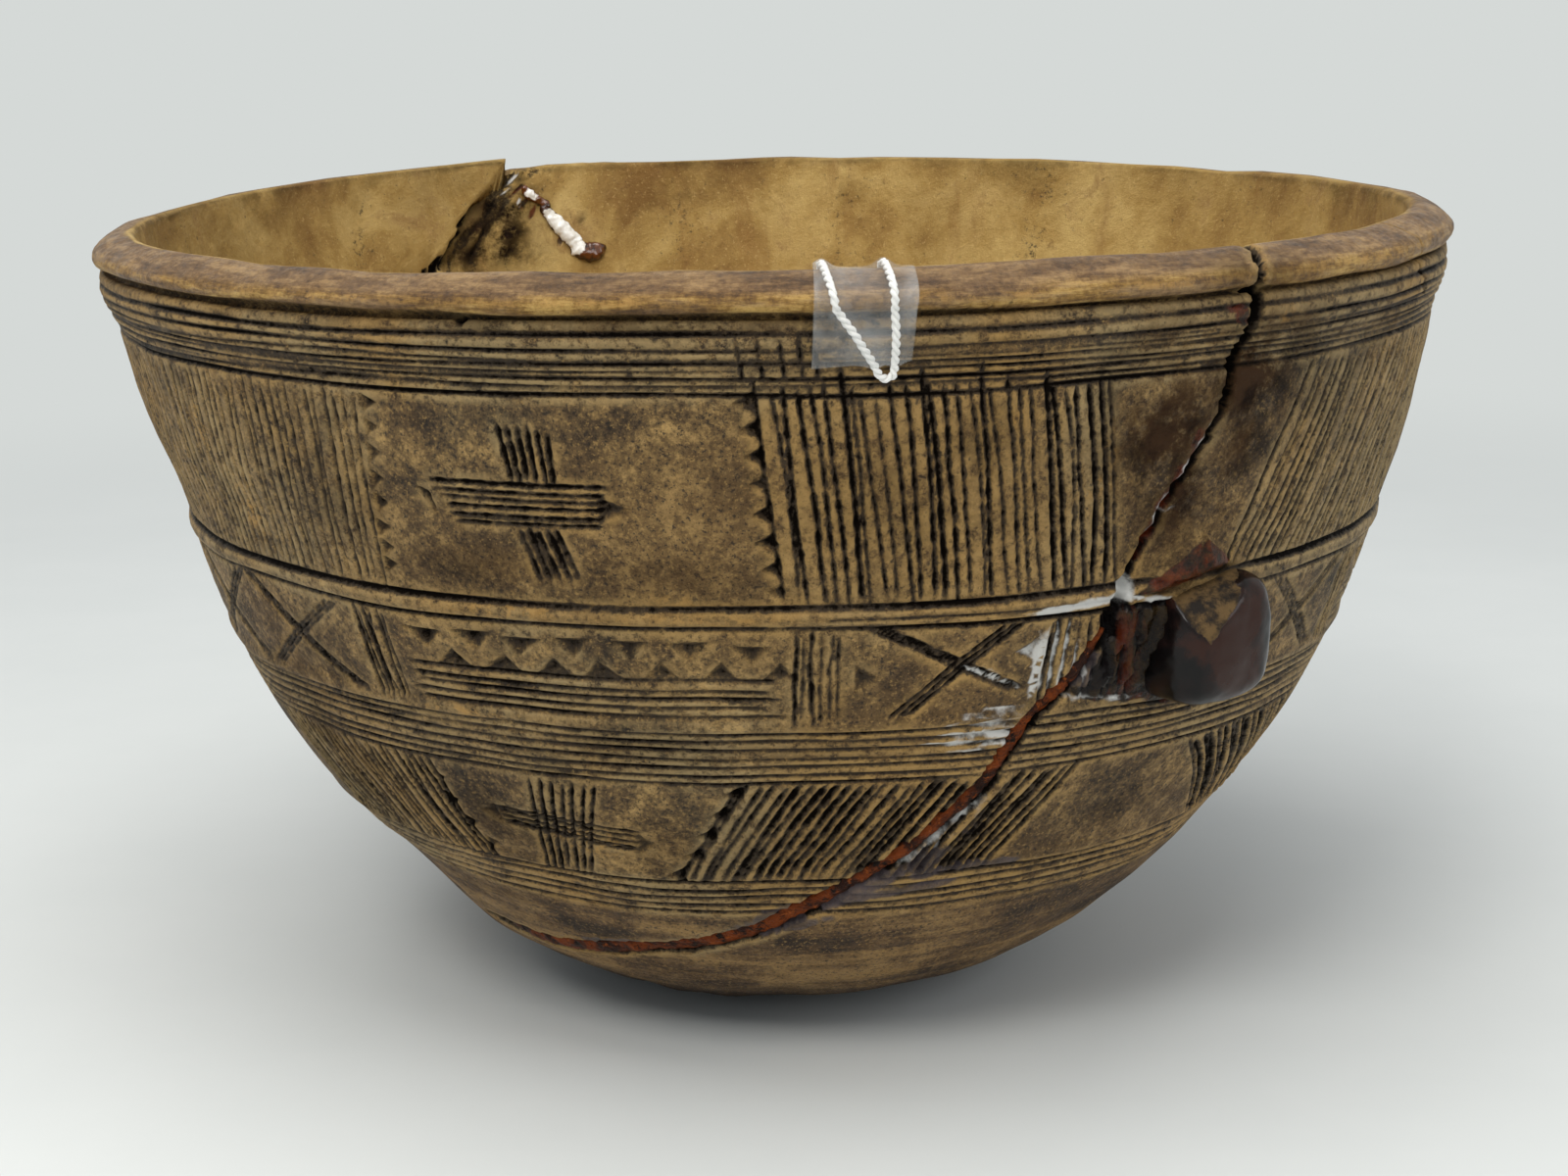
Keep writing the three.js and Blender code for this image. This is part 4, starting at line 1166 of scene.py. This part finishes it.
def floor_material():
    """Pale paper that keeps the shadow near the object and fades to the backdrop further off."""
    n = Nodes("paper_floor")
    paper = n.noise(14.0, 4.0, 0.6)
    n.bump(n.noise(700.0, 3.0, 0.7), 0.05, 0.0004)
    near = n.tones(paper, (213, 217, 216), (221, 224, 223))
    n.set(Base_Color=near, Roughness=0.85, Specular_IOR_Level=0.2)
    reach = n.node("ShaderNodeVectorMath", operation="LENGTH")
    n.put(n.coords, reach.inputs[0])
    far = n.times(n.ramp(reach.outputs["Value"], *FADE_REACH), seen_directly(n.tree))
    glow = n.node("ShaderNodeEmission")
    glow.inputs["Color"].default_value = srgb(*BACKDROP)
    both = n.node("ShaderNodeMixShader")
    n.put(far, both.inputs[0])
    n.put(n.shader.outputs[0], both.inputs[1])
    n.put(glow.outputs[0], both.inputs[2])
    n.put(both.outputs[0], n.tree.nodes["Material Output"].inputs["Surface"])
    return n.material


# Pieces


def make_bowl():
    position, masks = bowl_arrays()
    obj = linked("bowl_carved", grid_mesh("bowl_carved", position, masks), wood_material())
    # Fewer triangles, taken mostly from the far side and the plain inside
    seen = np.zeros(SHAPE, bool)
    seen[:CREST_ROW] = np.abs(AZ) < FRONT_SEEN
    seen[CREST_ROW:] = (AZ > BACK_SEEN[0]) & (AZ < BACK_SEEN[1])
    spare = obj.vertex_groups.new(name="spare")
    spare.add(range(len(obj.data.vertices)), 1.0, "REPLACE")
    spare.add(np.flatnonzero(seen).tolist(), 0.5, "REPLACE")
    fewer = obj.modifiers.new("fewer", "DECIMATE")
    fewer.ratio = min(1.0, BOWL_FACES / len(obj.data.polygons))
    fewer.vertex_group = spare.name
    fewer.vertex_group_factor = SPARE_FACTOR
    applied(obj)
    obj.vertex_groups.clear()
    obj.data.shade_smooth()
    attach(obj, "root")
    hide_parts("bowl")
    return obj


def make_crack_resin():
    path = rounded([p for p in FRONT_CRACK if p[1] < RESIN_TOP][:-1], 10)
    centres, normals, wide, tall = [], [], [], []
    for i, (a, z) in enumerate(path):
        ends = min(1.0, 0.35 + 0.08 * min(i, len(path) - 1 - i))
        lump = noise.noise(Vector((i * 0.33, 0.0, 3.1)))
        ripple = noise.noise(Vector((i * 0.9, 5.0, 0.0)))
        depth = -1.75 + 0.35 * lump + 0.9 * float(smooth(-a, 12.0, 32.0))
        point, out = wall_point(a + 0.12 * ripple, z, depth)
        centres.append(point)
        normals.append(out)
        wide.append((1.9 + 1.0 * float(smooth(z, 50.0, 34.0))) * ends * (1.0 + 0.2 * ripple))
        tall.append(1.15 * ends * (1.0 + 0.2 * lump))
    mesh = tube_mesh("crack_resin_fill", centres, normals, wide, tall, 12)
    obj = linked("crack_resin_fill", mesh, crack_resin_material())
    rough_up(obj, 0.36, 1.0)
    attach(obj, "root")
    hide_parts("crack_resin")
    return obj


def squared_off(x):
    """A sine or cosine bent so that a ball becomes a block with round corners."""
    return np.sign(x) * np.abs(x) ** LUG_CORNER


def make_lug():
    """A rounded block that stands out of the wall, with its upper left corner worn to bare wood."""
    rows, cols = 90, 120
    a, b, c = LUG_HALF
    points = np.zeros((rows, cols, 3))
    tilt = np.linspace(-np.pi / 2, np.pi / 2, rows + 2)[1:-1, None]
    turn = np.linspace(-np.pi, np.pi, cols, endpoint=False)[None]
    points[..., 0] = a * squared_off(np.cos(tilt)) * squared_off(np.cos(turn))
    points[..., 1] = b * squared_off(np.cos(tilt)) * squared_off(np.sin(turn))
    points[..., 2] = c * squared_off(np.sin(tilt)) + 0 * turn
    x, y, z = points[..., 0], points[..., 1], points[..., 2]
    # The worn corner is cut back, and its lower edge runs to a point
    along = x + z - c
    edge = y - (1.0 + 0.95 * np.abs(along + 9.5))
    wear_and_highlight = smooth(edge, -2.4, 2.4) * smooth(-along, 0.0, 2.0)
    slope = np.clip(points @ np.array(LUG_WORN_WAY) - 12.4, 0.0, None)
    points -= (wear_and_highlight * slope * 0.55)[..., None] * np.array(LUG_WORN_WAY)
    points *= (1.0 - 0.05 * smooth(-y, 0.0, b))[..., None]
    mesh = grid_mesh("lug_coated", points, {"bare_and_highlight": wear_and_highlight})
    obj = linked("lug_coated", mesh, lug_material())
    rough_up(obj, 0.25, 0.16)
    face = float(outer_radius(LUG_HEIGHT)) + LUG_REACH
    turned = Matrix.Rotation(math.radians(LUG_AZIMUTH), 4, "Z")
    place = turned @ Matrix.Translation((0, -(face - c) * MM, LUG_HEIGHT * MM))
    mesh.transform(place @ Matrix.Rotation(math.radians(90), 4, "X"))
    mesh.update()
    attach(obj, "root")
    return obj


def make_glue_drip():
    """A glossy drip on the inner wall: pale along the middle, amber at both ends."""
    path = rounded([
        (-151.2, 183.0), (-152.0, 180.2), (-153.4, 177.6), (-153.8, 175.2), (-155.0, 171.4),
        (-156.4, 167.4), (-157.2, 164.4), (-158.6, 163.0), (-160.4, 164.2),
    ], 12)
    share = np.linspace(0, 1, len(path))
    thick = np.interp(
        share,
        [0, 0.1, 0.2, 0.3, 0.36, 0.5, 0.7, 0.85, 0.95, 1],
        [0.7, 1.6, 1.0, 1.8, 1.4, 2.5, 2.4, 2.9, 2.4, 0.9],
    )
    centres, normals = [], []
    for a, z in path:
        r = float(inner_radius(z)) - form_at(IN, a, z) - 0.4
        centres.append(around(a, r, z))
        normals.append(around(a, -1.0, 0.25).normalized())
    sides = 16
    mesh = tube_mesh("glue_drip_dried", centres, normals, list(thick), list(thick * 0.7), sides)
    pale = np.interp(
        share,
        [0, 0.08, 0.16, 0.22, 0.32, 0.38, 0.74, 0.82, 1],
        [0.0, 0.5, 0.55, 0.1, 0.2, 0.75, 0.8, 0.1, 0.0],
    )
    crest = 0.5 + 0.5 * np.sin(2 * np.pi * np.arange(sides) / sides)
    values = np.concatenate([(pale[:, None] * (0.1 + 1.0 * crest[None] ** 1.5)).ravel(), [0.0, 0.0]])
    mesh.attributes.new("pale", "FLOAT", "POINT").data.foreach_set("value", values.astype(np.float32))
    obj = linked("glue_drip_dried", mesh, glue_material())
    rough_up(obj, 0.6, 0.55)
    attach(obj, "root")
    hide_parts("glue_drip")
    return obj


# The line over the rim that the string and the tape follow, from outside to inside
RIM_OVER = rounded(
    [(float(outer_radius(z) + under_lip_bulge(z)) + 0.15, z) for z in (160.0, 164.0, 168.0, 172.0, 176.0)]
    + [(r + 0.1, z + 0.1) for r, z in LIP_SECTION[4:10]]
    + [(r - 0.1, z) for r, z in LIP_SECTION[10:]]
    + [(float(inner_radius(z)) - 0.25, z) for z in (180.0, 175.0, 170.0, 165.0)],
    10,
)
RIM_RUN = np.concatenate([[0.0], np.cumsum(np.hypot(*np.diff(RIM_OVER, axis=0).T))])


def run_at(height, inner=False):
    """How far along the line over the rim a height is, on the outside or the inside."""
    top = int(np.argmax(RIM_OVER[:, 1]))
    side = slice(top, None) if inner else slice(0, top + 1)
    z, run = RIM_OVER[side, 1], RIM_RUN[side]
    order = np.argsort(z)
    return float(np.interp(height, z[order], run[order]))


def over_rim(azimuth, run, lift):
    """A point in millimetres on that line, raised off the wood, with its outward direction."""
    behind, here, ahead = (
        [np.interp(run + step, RIM_RUN, RIM_OVER[:, k]) for k in (0, 1)] for step in (-0.5, 0.0, 0.5)
    )
    dr, dz = ahead[0] - behind[0], ahead[1] - behind[1]
    size = math.hypot(dr, dz)
    out = around(azimuth, dz / size, -dr / size)
    return around(azimuth, *here) + lift * out, out


# The string: up from inside, over the crest, down to its foot outside, and back the same way
STRING_RADIUS = 0.85
PLY_RADIUS = 0.46
PLY_OFFSET = 0.42
PLY_PITCH = 3.4
STRING_STEP = 0.35
STRING_ROUTE = [
    (azimuth, run_at(height, side == "in"))
    for azimuth, height, side in (
        (3.2, 170.5, "in"), (3.3, 178.0, "in"), (3.5, RIM_HEIGHT, "out"), (4.2, 182.0, "out"),
        (5.6, 176.0, "out"), (6.8, 171.0, "out"), (7.2, 168.9, "out"), (7.7, 168.2, "out"),
        (8.15, 169.0, "out"), (8.2, 171.0, "out"), (8.2, 176.0, "out"), (8.1, 182.0, "out"),
        (7.9, RIM_HEIGHT, "out"), (7.8, 178.0, "in"), (7.9, 170.5, "in"),
    )
]


def string_line():
    route = rounded(STRING_ROUTE, 16)
    return [over_rim(a, run, STRING_RADIUS + 0.15) for a, run in route]


def make_string():
    """Two plies twisted round each other along the route."""
    line = string_line()
    spaced = [line[0]]
    for point, out in line[1:]:
        if (point - spaced[-1][0]).length > STRING_STEP:
            spaced.append((point, out))
    core, outward = zip(*spaced)
    run, plies = 0.0, [[], []]
    normals = []
    for i, point in enumerate(core):
        up, side = crosswise(core, outward, i)
        run += (point - core[max(i - 1, 0)]).length
        for ply in range(2):
            t = 2 * math.pi * run / PLY_PITCH + math.pi * ply
            plies[ply].append(point + (up * math.sin(t) + side * math.cos(t)) * PLY_OFFSET)
        normals.append(up)
    material = string_material()
    made = []
    for ply, centres in enumerate(plies):
        radius = [PLY_RADIUS] * len(centres)
        mesh = tube_mesh(f"tag_string_ply_{ply + 1}", centres, normals, radius, radius, 8)
        obj = linked(mesh.name, mesh, material)
        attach(obj, "root")
        made.append(obj)
    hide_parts("tag_string")
    return made


# The tape: its ends outside and inside, its edges as (azimuth, drift), and its tent over the string
TAPE_FEET = (170.2, 174.0)
TAPE_LEFT = (2.55, 0.5)
TAPE_RIGHT = (9.4, 1.1)
TAPE_THICKNESS = 0.09
TAPE_CELLS = (56, 110)
TENT_HEIGHT = 2.0
TENT_SPREAD = 1.9


def make_tape():
    """A thin strip over the rim, lying on the wood and tented over the string."""
    line = [p for p, _ in string_line()]
    across, along = TAPE_CELLS
    low, high = run_at(TAPE_FEET[0]), run_at(TAPE_FEET[1], True)
    grid = []
    for j in range(along + 1):
        t = j / along
        run = low + (high - low) * t
        left, right = TAPE_LEFT[0] + TAPE_LEFT[1] * t, TAPE_RIGHT[0] + TAPE_RIGHT[1] * t
        row = []
        for i in range(across + 1):
            a = left + (right - left) * i / across
            start = run + (1.0 - t) * 1.2 * (i / across)
            point, out = over_rim(a, start, 0.2)
            gap = min((point - p).length for p in line)
            tent = TENT_HEIGHT * math.exp(-((gap / TENT_SPREAD) ** 2))
            wrinkle = 0.12 * noise.noise(point * 0.35)
            row.append((point + out * (tent + max(wrinkle, 0.0)), out))
        grid.append(row)
    n = across + 1
    count = n * (along + 1)
    points = [p * MM for row in grid for p, _ in row]
    points += [(p + TAPE_THICKNESS * out) * MM for row in grid for p, out in row]
    faces = []
    for j in range(along):
        for i in range(across):
            a = j * n + i
            faces.append((a, a + n, a + n + 1, a + 1))
            faces.append((count + a, count + a + 1, count + a + n + 1, count + a + n))
    border = [*range(across)] + [across + j * n for j in range(along)]
    border += [along * n + across - i for i in range(across)] + [(along - j) * n for j in range(along)]
    for a, b in zip(border, border[1:] + border[:1]):
        faces.append((a, b, count + b, count + a))
    mesh = bpy.data.meshes.new("rim_tape_film")
    mesh.from_pydata([tuple(p) for p in points], [], faces)
    mesh.update()
    obj = linked("rim_tape_film", mesh, tape_material())
    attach(obj, "root")
    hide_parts("rim_tape")
    return obj


# Stage, light and camera

CAMERA_BACK = 0.658
CAMERA_HEIGHT = 0.243
CAMERA_PITCH = math.radians(12.9)
CAMERA_YAW = math.radians(0.145)
CAMERA_ROLL = math.radians(-0.9)
FOCAL_PIXELS = 2760.0
PHOTO_WIDTH = 1600.0
SENSOR = 36.0
FLOOR_HALF = 3.0
FLOOR_LEVEL = -0.0002


def make_stage():
    """A flat pale floor, just under the base."""
    mesh = bpy.data.meshes.new("paper_floor")
    signs = ((-1, -1), (1, -1), (1, 1), (-1, 1))
    corners = [(x * FLOOR_HALF, y * FLOOR_HALF, FLOOR_LEVEL) for x, y in signs]
    mesh.from_pydata(corners, [], [(0, 1, 2, 3)])
    mesh.update()
    linked("paper_floor", mesh, floor_material())


def area_light(name, place, target, size, power, colour=(1.0, 1.0, 1.0)):
    lamp = bpy.data.lights.new(name, "AREA")
    lamp.shape = "RECTANGLE"
    lamp.size, lamp.size_y = size
    lamp.energy = power
    lamp.color = colour
    obj = bpy.data.objects.new(name, lamp)
    bpy.context.scene.collection.objects.link(obj)
    obj.location = place
    obj.rotation_euler = (Vector(target) - Vector(place)).to_track_quat("-Z", "Y").to_euler()
    return obj


def make_light():
    world = bpy.data.worlds.new("studio")
    world.use_nodes = True
    tree = world.node_tree
    lit = tree.nodes["Background"]
    lit.inputs["Color"].default_value = (0.92, 0.96, 1.0, 1.0)
    lit.inputs["Strength"].default_value = 0.42
    shown = tree.nodes.new("ShaderNodeBackground")
    shown.inputs["Color"].default_value = srgb(*BACKDROP)
    both = tree.nodes.new("ShaderNodeMixShader")
    tree.links.new(seen_directly(tree), both.inputs[0])
    tree.links.new(lit.outputs[0], both.inputs[1])
    tree.links.new(shown.outputs[0], both.inputs[2])
    tree.links.new(both.outputs[0], tree.nodes["World Output"].inputs["Surface"])
    bpy.context.scene.world = world
    area_light("overhead", (-0.15, -0.30, 1.35), (0.0, 0.0, 0.1), (1.3, 1.0), 14.0, (1.0, 0.98, 0.94))
    area_light("front_left", (-0.45, -1.2, 1.25), (0.0, -0.1, 0.04), (0.6, 0.5), 10.8, (1.0, 0.98, 0.94))
    area_light("right_fill", (1.1, -0.6, 0.6), (0.0, 0.0, 0.08), (0.6, 0.7), 3.5)


def make_camera():
    data = bpy.data.cameras.new("photo_camera")
    data.sensor_width = SENSOR
    data.lens = SENSOR * FOCAL_PIXELS / PHOTO_WIDTH
    data.clip_start = 0.01
    data.clip_end = 20.0
    camera = bpy.data.objects.new("photo_camera", data)
    bpy.context.scene.collection.objects.link(camera)
    look = Matrix.Rotation(-CAMERA_YAW, 4, "Z") @ Matrix.Rotation(math.pi / 2 - CAMERA_PITCH, 4, "X")
    place = Matrix.Translation((0.0, -CAMERA_BACK, CAMERA_HEIGHT))
    camera.matrix_world = place @ look @ Matrix.Rotation(CAMERA_ROLL, 4, "Z")
    bpy.context.scene.camera = camera


make_bowl()
make_crack_resin()
make_lug()
make_glue_drip()
make_string()
make_tape()
make_stage()
make_light()
make_camera()
bpy.context.scene.view_settings.view_transform = "Standard"
